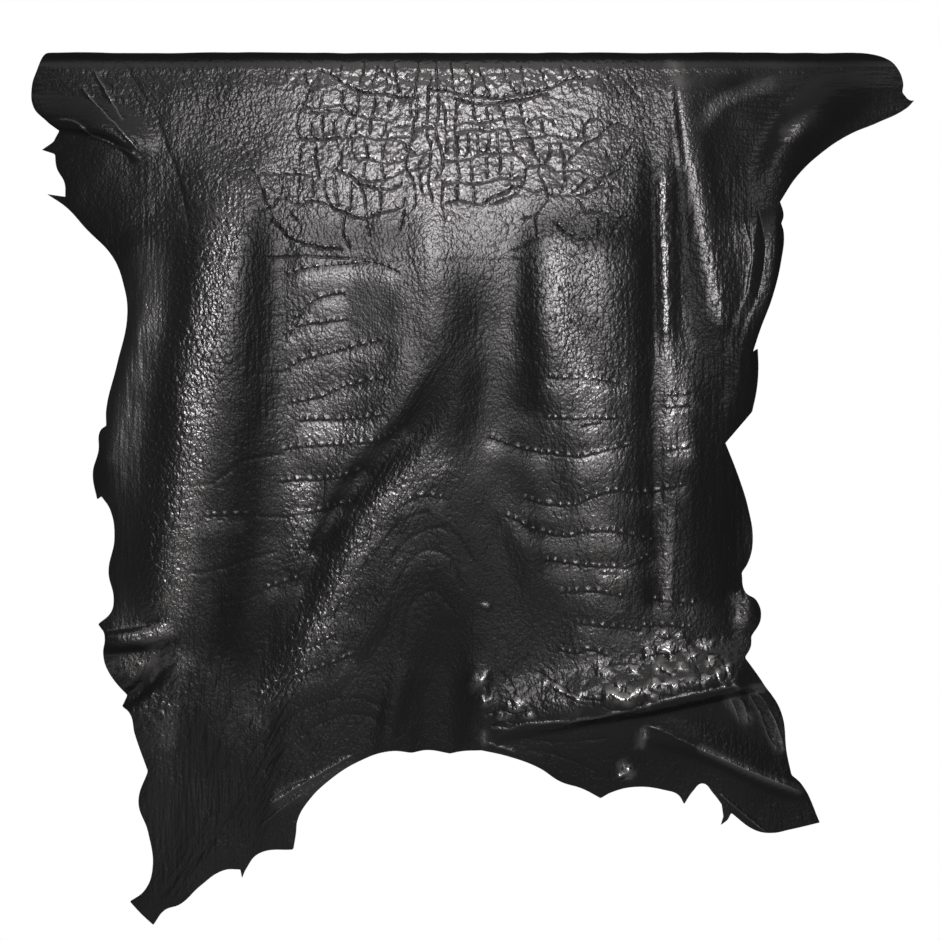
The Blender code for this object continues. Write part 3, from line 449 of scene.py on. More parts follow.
# Each surface value is a plain number and soft strokes of (reach, amount, path), which add
# their amount within reach squares of a path of (column, row).
SURFACES = {
    "streaks_down": (0.1, (
        (40, 0.5, ((258, 200), (255, 330), (245, 460), (230, 600))),
        (60, 0.25, ((150, 200), (130, 330), (120, 500), (130, 700), (160, 880))),
        (60, 0.25, ((650, 160), (660, 400), (655, 580))), (50, 0.6, ((745, 200), (735, 330), (735, 560))),
        (70, 0.8, ((230, 640), (210, 760), (200, 880))), (50, 0.4, ((700, 720), (760, 770), (800, 810))),
    )),
    "streaks_across": (0.0, (
        (80, 0.9, ((40, 100), (110, 120))), (90, 0.9, ((890, 80), (790, 130))),
        (14, 0.5, ((665, 190), (668, 330))), (16, 0.4, ((700, 220), (720, 320))),
    )),
    "streaks_slant": (0.0, (
        (60, 0.8, ((400, 500), (350, 600), (310, 690), (290, 750))), (50, 0.6, ((440, 360), (380, 450))),
        (60, 0.9, ((330, 700), (260, 800), (190, 880))),
    )),
    "puckers": (0.0, (
        (130, 0.5, ((350, 130), (560, 130))), (50, 1.0, ((610, 680), (710, 660))),
        (40, 0.55, ((490, 700), (570, 695))), (40, 0.5, ((150, 650), (160, 720))),
        (26, 0.4, ((230, 230), (200, 380), (182, 480), (165, 600))), (20, 0.6, ((665, 180), (668, 330))),
        (20, 0.6, ((700, 230), (722, 320))), (16, 0.6, ((668, 400), (668, 600))),
        (24, 0.6, ((300, 490), (298, 560))), (26, 0.5, ((290, 78), (590, 78))),
        (30, 0.6, ((110, 665), (180, 665), (170, 720))),
    )),
    "crinkle": (0.4, (
        (40, 0.6, ((225, 240), (200, 380), (180, 480), (165, 600))),
        (40, -0.5, ((150, 260), (130, 380), (118, 460), (122, 600))),
        (130, -0.25, ((380, 120), (520, 120))), (60, 0.35, ((215, 80), (240, 150), (275, 190))),
        (50, 0.35, ((625, 70), (640, 150), (610, 210))), (60, 0.35, ((570, 260), (585, 360))),
        (60, 0.05, ((590, 400), (600, 520), (610, 620))), (60, -0.1, ((580, 680), (700, 665))),
        (50, 0.35, ((150, 660), (165, 740))), (110, -0.3, ((210, 790), (180, 880))),
        (110, -0.35, ((740, 110), (860, 90))), (90, -0.25, ((60, 120), (90, 200))),
        (60, 0.08, ((500, 640), (560, 660))), (60, -0.25, ((330, 270), (390, 330))),
        (30, 0.4, ((440, 465), (390, 500), (332, 600), (280, 688))), (24, 0.45, ((300, 490), (298, 560))),
        (110, -0.18, ((490, 400), (500, 560), (430, 700))),
    )),
    # Partly the leather's own gloss, which varies over the hide, and partly painted light: painted
    # highlights along ridges, and painted shade on valley floors, on flanks and along the top band over
    # the rail.
    "gloss_and_painted_light": (0.2, (
        (190, 0.33, ((370, 130), (540, 130))),
        (28, 0.66, ((230, 200), (218, 280), (202, 360), (193, 440), (186, 510), (178, 570), (160, 640))),
        (20, 0.3, ((196, 390), (193, 450), (190, 510), (180, 560), (176, 610))),
        (32, 0.5, ((148, 270), (132, 380), (118, 440))), (22, 0.25, ((128, 300), (118, 380), (110, 430))),
        (40, -0.22, ((260, 225), (257, 330), (250, 450), (240, 560), (225, 640))),
        (70, 0.12, ((135, 300), (125, 480), (125, 620))), (16, 0.4, ((305, 435), (365, 434))),
        (20, 0.4, ((302, 492), (300, 535))), (34, 0.12, ((430, 200), (430, 310))),
        (40, -0.25, ((545, 225), (620, 235))), (34, -0.2, ((325, 236), (400, 236))),
        (60, -0.2, ((460, 300), (450, 420))), (24, -0.25, ((525, 250), (530, 400))),
        (22, 0.36, ((560, 250), (560, 320), (585, 380), (592, 412))), (20, 0.42, ((585, 468), (610, 462))),
        (16, 0.32, ((585, 515), (598, 520))), (16, 0.28, ((590, 545), (620, 545))),
        (34, -0.15, ((520, 455), (545, 560))), (14, 0.28, ((600, 575), (620, 572))),
        (18, 0.25, ((592, 262), (592, 305))), (16, -0.35, ((643, 160), (643, 400), (650, 600))),
        (10, 0.6, ((665, 180), (665, 330))), (16, 0.45, ((669, 345), (676, 392))),
        (18, 0.55, ((670, 418), (682, 452))), (46, -0.35, ((722, 345), (712, 460), (716, 580))),
        (8, 0.6, ((667, 515), (667, 600))), (12, -0.12, ((667, 488), (667, 510))),
        (12, 0.4, ((672, 60), (688, 130), (698, 200), (712, 280), (722, 320))),
        (17, -0.6, ((679, 180), (685, 220), (692, 270), (700, 330))), (7, -0.5, ((652, 170), (654, 330))),
        (60, -0.34, ((735, 110), (745, 190))), (12, 0.45, ((700, 125), (720, 105), (748, 92), (768, 86))),
        (14, 0.3, ((785, 135), (815, 122))), (28, -0.3, ((445, 380), (400, 440), (350, 490), (322, 540))),
        (28, -0.12, ((300, 575), (280, 610), (245, 670))),
        (20, 0.4, ((440, 465), (390, 500), (360, 545), (332, 600), (305, 648), (280, 688), (258, 720))),
        (27, -0.6, ((15, 52), (935, 52))), (12, 0.25, ((290, 80), (590, 80))),
        (110, -0.13, ((470, 540), (440, 620), (420, 720))), (40, -0.14, ((510, 400), (515, 440))),
        (60, -0.05, ((520, 680), (600, 670), (730, 660))),
        (80, -0.12, ((560, 775), (640, 765), (720, 750), (780, 800))), (9, 1.0, ((622, 767), (629, 774))),
        (6, 1.0, ((643, 731), (641, 744))), (6, 0.6, ((484, 734), (484, 744))),
        (12, 0.9, ((730, 700), (745, 718))), (14, 1.0, ((757, 690), (780, 745))),
        (12, 0.5, ((731, 600), (740, 622))), (6, 0.9, ((700, 748), (755, 774), (798, 790))),
        (10, 0.5, ((610, 692), (628, 698))), (15, 0.7, ((108, 666), (150, 664), (185, 662))),
        (9, -0.6, ((106, 650), (150, 648), (176, 641))), (5, 0.7, ((152, 681), (157, 672))),
        (10, -0.3, ((163, 660), (146, 690))), (16, 0.55, ((176, 665), (172, 700), (168, 740))),
        (70, -0.05, ((200, 740), (240, 780), (200, 850))), (60, 0.1, ((160, 780), (190, 860))),
        (50, 0.15, ((130, 640), (150, 740))), (16, 0.3, ((280, 800), (350, 770))),
        (120, -0.25, ((60, 150), (90, 240))), (90, -0.2, ((840, 100), (760, 160))),
    )),
}

# Bump on the grain: height in mm, size in metres and detail of the noise. The cells wander
# off their places by the height of CELL_WANDER.
Bump = namedtuple("Bump", "height size detail", defaults=(0.0,))
PEBBLES = Bump(0.30, 0.0028)
PUFFED_CELLS = Bump(0.42, 0.0080)
SOFT_SWELLS = Bump(0.20, 0.0080, 2.0)
SPECKS = Bump(0.13, 0.0022, 1.0)
LONG_STREAKS = Bump(1.10, 0.0045, 1.5)
CROSS_STREAKS = Bump(1.10, 0.0050, 1.5)
PUCKERS = Bump(1.60, 0.0085, 1.0)
CELL_WANDER = Bump(6.0, 0.011, 2.0)
CELL_GROOVE = 0.45
PLAIN_CRINKLE = 0.25
CELL_STRETCH = (1.0, 1.0, 1.25)
STRETCH_DOWN = (1.0, 1.0, 10.0)
STRETCH_ACROSS = (7.0, 1.0, 1.0)
STREAK_SLANT = math.radians(30)

# Roughness and gloss of the grain: where there is no gloss or painted light, and what the full amount of
# both adds.
ROUGHNESS = (0.28, -0.05)
GLOSS = (0.035, 0.72)
MEAN_GLOSS = 0.3
BLACK = (0.007, 0.007, 0.007, 1.0)
GRAIN_IOR = 1.5

# Bare leather: darker tone, lighter tone, fibre size and depth of the nap in metres.
FLESH = ((0.065, 0.052, 0.043, 1.0), (0.15, 0.12, 0.10, 1.0), 0.0015, 0.0008)
CUT_EDGE = ((0.030, 0.019, 0.013, 1.0), (0.085, 0.052, 0.034, 1.0), 0.0006, 0.0003)
FIBRES_IN_CLOUD = 12
FIBRE_DETAIL = 4.0
BARE_ROUGHNESS = 0.95
BARE_GLOSS = 0.2

# Places of the colours among the sockets of a Mix node.
MIX_FIRST, MIX_SECOND, MIX_RESULT = 6, 7, 2

SENSOR = 36.0
CAMERA_DISTANCE = 5.0
CAMERA_SIGHT = 50.0
FRAME_WIDTH = 940 * SQUARE
CAMERA_X = 0.017
CAMERA_Z = -0.480
HIDE_PLANE = -0.022

Light = namedtuple("Light", "name place target size power colour")
LIGHTS = (
    Light("key_softbox", (0.0, -1.8, 0.02), (0.0, 0.0, -0.2), (0.40, 0.34), 24.0, (1.0, 0.96, 0.97)),
    Light("low_softbox", (0.1, -2.6, -0.62), (0.0, 0.0, -0.6), (0.9, 0.4), 5.0, (1.0, 0.97, 0.95)),
    Light("top_softbox", (0.0, -1.5, 1.3), (0.0, 0.0, 0.0), (2.4, 1.5), 28.0, (1.0, 0.97, 0.95)),
)
WHITE = (1.0, 1.0, 1.0, 1.0)
ROOM_STRENGTH = 0.07

FLOOR_SPAN = (-2.5, 2.5, -3.0, 0.7)
FLOOR_HEIGHT = -1.10
FLOOR_COLOUR = (0.8, 0.8, 0.79, 1.0)
FLOOR_ROUGHNESS = 0.9


def smoothstep(amount):
    amount = np.clip(amount, 0.0, 1.0)
    return amount * amount * (3.0 - 2.0 * amount)


def pulse(turns):
    """1 at each whole turn and 0 halfway between them."""
    return 0.5 + 0.5 * np.cos(math.tau * turns)


def length_from_crest(fall):
    """Length along the hide from the crest of the rail down to a given fall."""
    drop = abs(fall)
    if drop < GRAIN_RADIUS:
        length = MID_RADIUS * math.acos(1.0 - drop / GRAIN_RADIUS)
    else:
        length = QUARTER_TURN + drop - GRAIN_RADIUS
    return math.copysign(length, fall)


def spot(column, row):
    """Where a square lies on the hide, as (x, fall)."""
    return (column - CENTRE_COLUMN) * SQUARE, (row - CREST_ROW) * SQUARE


def smooth_path(path):
    """Points (x, length, value, run) along a smooth curve through a path of (x, fall, value)."""
    knots = np.array([(x, length_from_crest(fall), value) for x, fall, value in path])
    padded = np.vstack([2 * knots[0] - knots[1], knots, 2 * knots[-1] - knots[-2]])
    points = []
    for before, start, end, after in zip(padded, padded[1:], padded[2:], padded[3:]):
        for part in np.arange(PATH_STEPS) / PATH_STEPS:
            pull = (end - before) * part + (2 * before - 5 * start + 4 * end - after) * part ** 2
            points.append(start + 0.5 * (pull + (3 * start - before - 3 * end + after) * part ** 3))
    points = np.array(points + [knots[-1]])
    steps = np.linalg.norm(np.diff(points[:, :2], axis=0), axis=1)
    return np.column_stack([points, np.concatenate([[0.0], np.cumsum(steps)])])


def traced(path):
    """The smooth path through squares (column, row), with 0 as its value."""
    return smooth_path([(*spot(column, row), 0.0) for column, row in path])


def window_round(points, reach):
    """The part of the field within reach of some points, as a pair of slices."""
    low = points[:, :2].min(axis=0) - reach
    high = points[:, :2].max(axis=0) + reach
    columns = np.searchsorted(xs, (low[0], high[0]))
    rows = np.searchsorted(lengths, (low[1], high[1]))
    return slice(*rows), slice(*columns)


def places_in(window):
    """The x and the length of each place in a part of the field."""
    return np.meshgrid(xs[window[1]], lengths[window[0]])


def along_path(path, x, length):
    """Each place's gap to a path and side of it, and the path's value and run there."""
    gap = np.full(x.shape, np.inf)
    side, value, run = np.zeros((3, *x.shape))
    for start, end in zip(path, path[1:]):
        step_x, step_length = (end - start)[:2]
        off_x, off_length = x - start[0], length - start[1]
        along = (off_x * step_x + off_length * step_length) / (step_x ** 2 + step_length ** 2)
        along = np.clip(along, 0.0, 1.0)
        new_gap = np.hypot(off_x - along * step_x, off_length - along * step_length)
        closer = new_gap < gap
        gap[closer] = new_gap[closer]
        side[closer] = (step_x * off_length - step_length * off_x)[closer]
        value[closer] = (start[2] + along * (end[2] - start[2]))[closer]
        run[closer] = (start[3] + along * (end[3] - start[3]))[closer]
    return gap, side, value, run


def near_path(path, reach):
    """Window of the field round a path, and each place's gap, side, value and run along it."""
    window = window_round(path, reach)
    return window, *along_path(path, *places_in(window))


def curve_through(knots, heights, places):
    """A smooth curve across, through rising knots, that goes level at every high and low."""
    gaps, rises = np.diff(knots), np.diff(heights) / np.diff(knots)
    flat = rises[:-1] * rises[1:] <= 0.0
    before, after = 2 * gaps[1:] + gaps[:-1], gaps[1:] + 2 * gaps[:-1]
    safe = np.where(flat[:, None], 1.0, np.column_stack([rises[:-1], rises[1:]]))
    inner = np.where(flat, 0.0, (before + after) / (before / safe[:, 0] + after / safe[:, 1]))
    slopes = np.concatenate([[rises[0]], inner, [rises[-1]]])
    index = np.clip(np.searchsorted(knots, places) - 1, 0, len(gaps) - 1)
    gap, part = gaps[index], np.clip((places - knots[index]) / gaps[index], 0.0, 1.0)
    start, end = heights[index], heights[index + 1]
    lift = part * part * (3 - 2 * part)
    return (start + (end - start) * lift
            + gap * part * (1 - part) * (slopes[index] * (1 - part) - slopes[index + 1] * part))


def line_relief():
    """Stand-off of the field from the lines that run down it."""
    tracks = []
    for line in LINES.values():
        track = smooth_path([(*spot(column, row), height * MM)
                             for column, row, height in zip(line.columns, line.rows, line.heights)])
        tracks.append([np.interp(lengths, track[:, 1], track[:, column]) for column in (0, 2)])
    knots, heights = np.array(tracks).transpose(1, 2, 0)
    return np.array([curve_through(*row, xs) for row in zip(knots, heights)])


def fold_height(fold):
    """How much one fold lifts its part of the field, with that part's window."""
    path = smooth_path(np.array(fold.path) * MM)
    reach = (fold.crest + max(fold.near_flank, fold.far_flank)) * MM
    window, gap, side, height, _ = near_path(path, reach)
    flank = np.where(side > 0.0, fold.near_flank, fold.far_flank) * MM
    return window, height * (1.0 - smoothstep((gap - fold.crest * MM) / flank))


def macro_relief():
    """How far each place of the field stands out from the bent sheet."""
    relief = line_relief() * (lengths > 0.0)[:, None]
    for fold in FOLDS:
        window, height = fold_height(fold)
        relief[window] += height
    drop = np.maximum(np.abs(lengths) - QUARTER_TURN, 0.0)
    return np.maximum(relief, 0.0) * smoothstep(drop / GRAIN_RADIUS)[:, None]


def blend(field, row, column, down, across):
    """Values between the cells of a field and the next ones down and across."""
    top = field[row, column] * (1 - across) + field[row, column + 1] * across
    bottom = field[row + 1, column] * (1 - across) + field[row + 1, column + 1] * across
    return top * (1 - down) + bottom * down


def undulation(cell_across, cell_along, seed):
    """Smooth noise from -1 to 1 over the field, with cells of a given size in metres."""
    rows = ((lengths - FIELD_BACK) / cell_along)[:, None]
    columns = (xs - FIELD_LEFT) / cell_across
    size = (int(rows[-1, 0]) + 2, int(columns[-1]) + 2)
    knots = np.random.default_rng(seed).uniform(-1.0, 1.0, size)
    row, column = rows.astype(int), columns.astype(int)
    return blend(knots, row, column, smoothstep(rows - row), smoothstep(columns - column))


def sample(field, points):
    """Values of the field at flat points (x, length)."""
    column = np.clip((points[:, 0] - FIELD_LEFT) / SQUARE, 0, FIELD_SHAPE[1] - NEAR_END)
    row = np.clip((points[:, 1] - FIELD_BACK) / SQUARE, 0, FIELD_SHAPE[0] - NEAR_END)
    left, top = column.astype(int), row.astype(int)
    return blend(field, top, left, row - top, column - left)


def add_object(name, data):
    made = bpy.data.objects.new(name, data)
    bpy.context.scene.collection.objects.link(made)
    return made


def flat_outline():
    """The cut edge laid flat, as an even loop of points (x, length)."""
    curve = bpy.data.curves.new("outline", "CURVE")
    curve.dimensions = "2D"
    curve.fill_mode = "NONE"
    curve.resolution_u = OUTLINE_STEPS
    spline = curve.splines.new("BEZIER")
    spline.bezier_points.add(len(OUTLINE) - 1)
    spline.use_cyclic_u = True
    for knot, (x, fall, *corner) in zip(spline.bezier_points, OUTLINE):
        knot.co = (x * MM, length_from_crest(fall * MM), 0.0)
        knot.handle_left_type = knot.handle_right_type = corner[0] if corner else SOFT
    holder = add_object("outline", curve)
    mesh = bpy.data.meshes.new_from_object(holder)
    loop = np.array([vert.co[:2] for vert in mesh.vertices])
    bpy.data.objects.remove(holder)
    bpy.data.curves.remove(curve)
    bpy.data.meshes.remove(mesh)
    closed = np.vstack([loop, loop[:1]])
    run = np.concatenate([[0.0], np.cumsum(np.linalg.norm(np.diff(closed, axis=0), axis=1))])
    even = np.linspace(0.0, run[-1], round(run[-1] / EDGE_STEP), endpoint=False)
    return np.column_stack([np.interp(even, run, closed[:, axis]) for axis in (0, 1)])


def edge_gap(loop):
    """Distance of each place of the field from the cut edge, up to EDGE_REACH."""
    gap = np.full(FIELD_SHAPE, EDGE_REACH)
    for start, end in zip(loop, np.roll(loop, -1, axis=0)):
        window = window_round(np.array([start, end]), EDGE_REACH)
        x, length = places_in(window)
        gap[window] = np.minimum(gap[window], np.hypot(x - start[0], length - start[1]))
    return gap


def inside_loop(loop):
    """Which places of the field lie inside the cut edge."""
    inside = np.zeros(FIELD_SHAPE, bool)
    ends = np.roll(loop, -1, axis=0)
    for row, length in enumerate(lengths):
        crossing = (loop[:, 1] > length) != (ends[:, 1] > length)
        start, end = loop[crossing], ends[crossing]
        share = (length - start[:, 1]) / (end[:, 1] - start[:, 1])
        cuts = np.sort(start[:, 0] + share * (end[:, 0] - start[:, 0]))
        for left, right in zip(cuts[::2], cuts[1::2]):
            inside[row, np.searchsorted(xs, left):np.searchsorted(xs, right)] = True
    return inside


def widest(field, reach):
    """The largest value within reach squares of each place, down and across."""
    # Each of the two passes looks down the field and then turns it over its diagonal.
    for _ in range(2):
        found = field.copy()
        for shift in range(1, reach + 1):
            found[shift:] = np.maximum(found[shift:], field[:-shift])
            found[:-shift] = np.maximum(found[:-shift], field[shift:])
        field = found.T
    return field


def bend_in(field, step):
    """How far each place departs from the mean of its neighbours step squares away."""
    mean = field.copy()
    mean[step:-step, step:-step] = (
        field[2 * step:, step:-step] + field[:-2 * step, step:-step]
        + field[step:-step, 2 * step:] + field[step:-step, :-2 * step]) / 4
    return np.abs(field - mean)


def beside(path, offsets):
    """Points at even steps along a path, offset to its sides by some distances."""
    run = np.arange(CREASE_STEP / 2, path[-1, 3], CREASE_STEP)
    middle = np.column_stack([np.interp(run, path[:, 3], path[:, axis]) for axis in (0, 1)])
    along = np.gradient(middle, axis=0)
    along /= np.linalg.norm(along, axis=1)[:, None]
    across = along[:, ::-1] * (-1.0, 1.0)
    return np.vstack([middle + offset * across for offset in offsets])


def cells(points):
    """Rows and columns of the field's places nearest to some points."""
    rows = np.round((points[:, 1] - FIELD_BACK) / SQUARE).astype(int)
    columns = np.round((points[:, 0] - FIELD_LEFT) / SQUARE).astype(int)
    return np.clip(rows, 0, FIELD_SHAPE[0] - 1), np.clip(columns, 0, FIELD_SHAPE[1] - 1)


def grid(step_down, step_across):
    """Which places of the field lie on a grid of so many squares down and across."""
    on_grid = np.zeros(FIELD_SHAPE, bool)
    on_grid[::step_down, ::step_across] = True
    return on_grid


def points_at(chosen):
    """The chosen places of the field as points (x, length)."""
    rows, columns = np.nonzero(chosen)
    return np.column_stack([xs[columns], lengths[rows]])


def grain_points(relief, creases, gap, inside):
    """Points of the grain side: lines of them along each crease, and a grid between them."""
    lines = np.vstack([beside(path, (0.0,)) for _, path, _ in creases]
                      + [beside(path, np.array(crease.steps) * MM)
                         for crease, path, _ in creases])
    within = inside & (gap > EDGE_MARGIN)
    lines = lines[within[cells(lines)]]
    _, first = np.unique(np.round(lines / POINT_GAP), axis=0, return_index=True)
    lines = lines[np.sort(first)]
    creased = np.zeros(FIELD_SHAPE)
    creased[cells(lines)] = 1.0
    coarse = grid(COARSE_GRID, COARSE_GRID)
    crest = grid(MIDDLE_GRID, COARSE_GRID) & (np.abs(lengths) < QUARTER_TURN)[:, None]
    middle = grid(MIDDLE_GRID, MIDDLE_GRID) & (
        (widest(creased, SURROUND) > 0.0)
        | (widest(bend_in(relief, MIDDLE_GRID), MIDDLE_GRID) > MIDDLE_BEND))
    fine = grid(FINE_GRID, FINE_GRID) & (
        widest(bend_in(relief, FINE_GRID), FINE_GRID) > FINE_BEND)
    chosen = (coarse | crest | middle | fine) & within & (widest(creased, 1) == 0.0)
    return np.vstack([lines, points_at(chosen)])


def flesh_points(relief, gap, inside):
    """Points of the flesh side: a sparse grid, closer where the hide bends."""
    bent = widest(bend_in(relief, MIDDLE_GRID), SURROUND) > FLESH_BEND
    sparse = grid(FLESH_GRID, FLESH_GRID) | (grid(MIDDLE_GRID, MIDDLE_GRID) & bent)
    return points_at(sparse & inside & (gap >= EDGE_REACH))


def triangulated(loop, inner):
    """Points and triangles of a sheet with the loop as its edge; the loop's points come first."""
    flat = np.vstack([loop, inner])
    points = [Vector(point) for point in flat]
    _, _, faces, origins, _, _ = delaunay_2d_cdt(points, [], [list(range(len(loop)))],
                                                 INSIDE_ONLY, SAME_POINT)
    origin = np.array([found[0] for found in origins])
    return flat, origin[np.array(faces)]


def hung(flat, relief_field, outward):
    """Points of the sheet bent over the rail, outward metres off its middle, with its folds."""
    slope_down, slope_across = np.gradient(relief_field, SQUARE)
    relief = sample(relief_field, flat)
    across_slope, down_slope = sample(slope_across, flat), sample(slope_down, flat)
    length = np.abs(flat[:, 1])
    front = -np.where(flat[:, 1] < 0.0, -1.0, 1.0)
    drop = np.maximum(length - QUARTER_TURN, 0.0)
    turn = np.minimum(length, QUARTER_TURN) / MID_RADIUS
    zero = np.zeros(len(flat))
    out = np.column_stack([zero, front * np.sin(turn), np.cos(turn)])
    down = np.column_stack([zero, front * np.cos(turn), -np.sin(turn)]) * -front[:, None]
    middle = np.column_stack([flat[:, 0], front * MID_RADIUS * np.sin(turn),
                              MID_RADIUS * np.cos(turn) - RAIL_RADIUS - drop])
    along_rail = np.array([1.0, 0.0, 0.0])
    normal = out - across_slope[:, None] * along_rail - down_slope[:, None] * down
    normal /= np.linalg.norm(normal, axis=1)[:, None]
    return middle + relief[:, None] * out + outward[:, None] * normal


def wandering_creases():
    """Every crease as its kind, its smooth but slightly wandering path, and a random start."""
    rng = np.random.default_rng(CREASE_SEED)
    creases = []
    for crease in CREASES:
        for squares in crease.paths:
            path = traced(squares)
            path[1:-1, :2] += rng.uniform(-WANDER, WANDER, (len(path) - 2, 2))
            creases.append((crease, path, rng.uniform()))
    return creases


def crease_relief(creases, points):
    """Height of the creases and raised lines at some points, and the depth of the grooves."""
    raised, sunk, grooved = np.zeros((3, len(points)))
    for crease, path, start in creases:
        width = crease.half_width * MM
        reach = max(PUFF_REACH, SWELL_FAR if crease.swell else 0.0)
        low, high = path[:, :2].min(axis=0) - reach, path[:, :2].max(axis=0) + reach
        near = np.flatnonzero(np.all((points > low) & (points < high), axis=1))
        gap, side, _, run = along_path(path, *points[near].T)
        ends = smoothstep(run / TAPER) * smoothstep((path[-1, 3] - run) / TAPER)
        beads = pulse(run / BEAD_PITCH + start + BEAD_DRIFT * np.sin(run / BEAD_PITCH)) ** 2
        fade = 1.0 - FADE * pulse(run / FADE_PITCH + FADE_STARTS * start)
        share = ends * fade * MM
        strength = share * abs(crease.depth) * (1.0 - crease.breaks * (1.0 - beads))
        if crease.depth > 0.0:
            groove = strength * np.maximum(1.0 - gap / width, 0.0) ** V_CURVE
            puff = share * crease.depth * PUFF_SHARE * (1.0 - smoothstep(gap / PUFF_REACH))
            sunk[near] = np.maximum(sunk[near], groove + puff)
            grooved[near] = np.maximum(grooved[near], groove)
            rim = np.where(side > 0.0, crease.below, crease.above) * share * beads
            raised[near] += rim * np.exp(-((gap - BEAD_OUT) / BEAD_WIDTH) ** 2)
            swell = smoothstep(gap / SWELL_NEAR) * (1.0 - smoothstep(gap / SWELL_FAR))
            raised[near] += crease.swell * share * swell * (side > 0.0)
        else:
            banks = np.exp(-((gap / width - SHOULDER_OUT) ** 2))
            raised[near] += strength * (np.exp(-(gap / width) ** 2) - SHOULDER * banks)
    return raised - sunk, grooved


def painted(plain, strokes):
    """A surface value over the field, from its plain value and its strokes."""
    value = np.full(FIELD_SHAPE, plain)
    for reach, amount, squares in strokes:
        window, gap, *_ = near_path(traced(squares), reach * SQUARE)
        value[window] += amount * (1.0 - smoothstep(gap / (reach * SQUARE)))
    return np.clip(value, 0.0, 1.0)


def hide_relief():
    """How far each place of the sheet stands out, and from 0 to 1 how much of a lump it is."""
    relief, lumpy = macro_relief(), np.zeros(FIELD_SHAPE)
    for across, along, height, seed in WAVES:
        relief += height * MM * undulation(across * MM, along * MM, seed)
    warp_x, warp_length = (LUMP_WARP * undulation(LUMP_WARP_CELL, LUMP_WARP_CELL, seed)
                           for seed in LUMP_WARP_SEEDS)
    for column, row, radius, height in LUMPS:
        x, fall = spot(column, row)
        off = np.hypot((xs + warp_x - x) / LUMP_STRETCH,
                       lengths[:, None] + warp_length - length_from_crest(fall))
        bulge = 1.0 - smoothstep(off / (radius * SQUARE))
        relief += height * MM * bulge
        lumpy = np.maximum(lumpy, bulge * bulge)
    return relief, lumpy


def joined(grain, grain_faces, flesh, flesh_faces, edge):
    """One mesh of both sides and of the cut edge, a strip between their first edge points."""
    around = np.arange(edge)
    after = np.roll(around, -1)
    strip = np.column_stack([around, after, after + len(grain), around + len(grain)])
    mesh = bpy.data.meshes.new("hide_leather")
    mesh.from_pydata(np.vstack([grain, flesh]).tolist(), [], [
        *grain_faces[:, ::-1].tolist(), *(flesh_faces + len(grain)).tolist(), *strip.tolist()])
    slots = np.repeat((0, 1, 2), (len(grain_faces), len(flesh_faces), edge))
    mesh.polygons.foreach_set("material_index", slots.astype(np.int32))
    mesh.shade_smooth()
    mesh.set_sharp_from_angle(angle=SHARP_ANGLE)
    return mesh


def build_hide():
    """The hide's mesh, with its grain side, flesh side and cut edge as material slots."""
    loop = flat_outline()
    gap, inside = edge_gap(loop), inside_loop(loop)
    relief, lumpy = hide_relief()
    creases = wandering_creases()
    grain_flat, grain_faces = triangulated(loop, grain_points(relief, creases, gap, inside))
    flesh_flat, flesh_faces = triangulated(loop, flesh_points(relief, gap, inside))
    fine, grooved = crease_relief(creases, grain_flat)
    fine -= EDGE_ROUND * (1.0 - smoothstep(sample(gap, grain_flat) / EDGE_REACH))
    grain = hung(grain_flat, relief, THICKNESS / 2 + fine)
    flesh = hung(flesh_flat, relief, np.full(len(flesh_flat), -THICKNESS / 2))
    mesh = joined(grain, grain_faces, flesh, flesh_faces, len(loop))
    flat = np.vstack([grain_flat, flesh_flat])
    surfaces = {name: sample(painted(*surface), flat) for name, surface in SURFACES.items()}
    # Painted highlights on the lumps.
    surfaces["gloss_and_painted_light"] += LUMP_PAINTED_HIGHLIGHT * sample(lumpy, flat)
    # Raised places gain gloss, partly from burnish and partly as a painted highlight.
    burnish_and_highlight = np.clip(1.0 + (fine + grooved) / RISE, 1.0, BURNISH_AND_HIGHLIGHT)
    grain_gloss_and_painted_light = surfaces["gloss_and_painted_light"][:len(grain)]
    # Painted shade in the grooves: their gloss falls to nothing at HOLLOW_DEPTH deep.
    grain_gloss_and_painted_light *= burnish_and_highlight * np.clip(1.0 - grooved / HOLLOW_DEPTH, 0.0, 1.0)
    # Painted glints along the raised lines.
    grain_gloss_and_painted_light += GLINT * np.clip(fine / MM, 0.0, 1.0)
    for name, values in surfaces.items():
        attribute = mesh.attributes.new(name, "FLOAT", "POINT")
        attribute.data.foreach_set("value", values.astype(np.float32))
    return mesh


def new_material(name):
    """A new material, its node tree and its shader node."""
    material = bpy.data.materials.new(name)
    material.use_nodes = True
    return material, material.node_tree, material.node_tree.nodes["Principled BSDF"]


def fill(tree, node, inputs):
    """Sets a node's inputs to plain values, or links them to the outputs of other nodes."""
    for socket, value in inputs.items():
        if isinstance(value, bpy.types.NodeSocket):
            tree.links.new(value, node.inputs[socket])
        else:
            node.inputs[socket].default_value = value


def add_node(tree, kind, output, inputs, **settings):
    """One output of a new node that has the given inputs and settings."""
    node = tree.nodes.new("ShaderNode" + kind)
    for setting, value in settings.items():
        setattr(node, setting, value)
    fill(tree, node, inputs)
    return node.outputs[output]


def noise(tree, place, size, detail, output="Fac"):
    return add_node(tree, "TexNoise", output, {"Vector": place, "Scale": 1 / size, "Detail": detail})


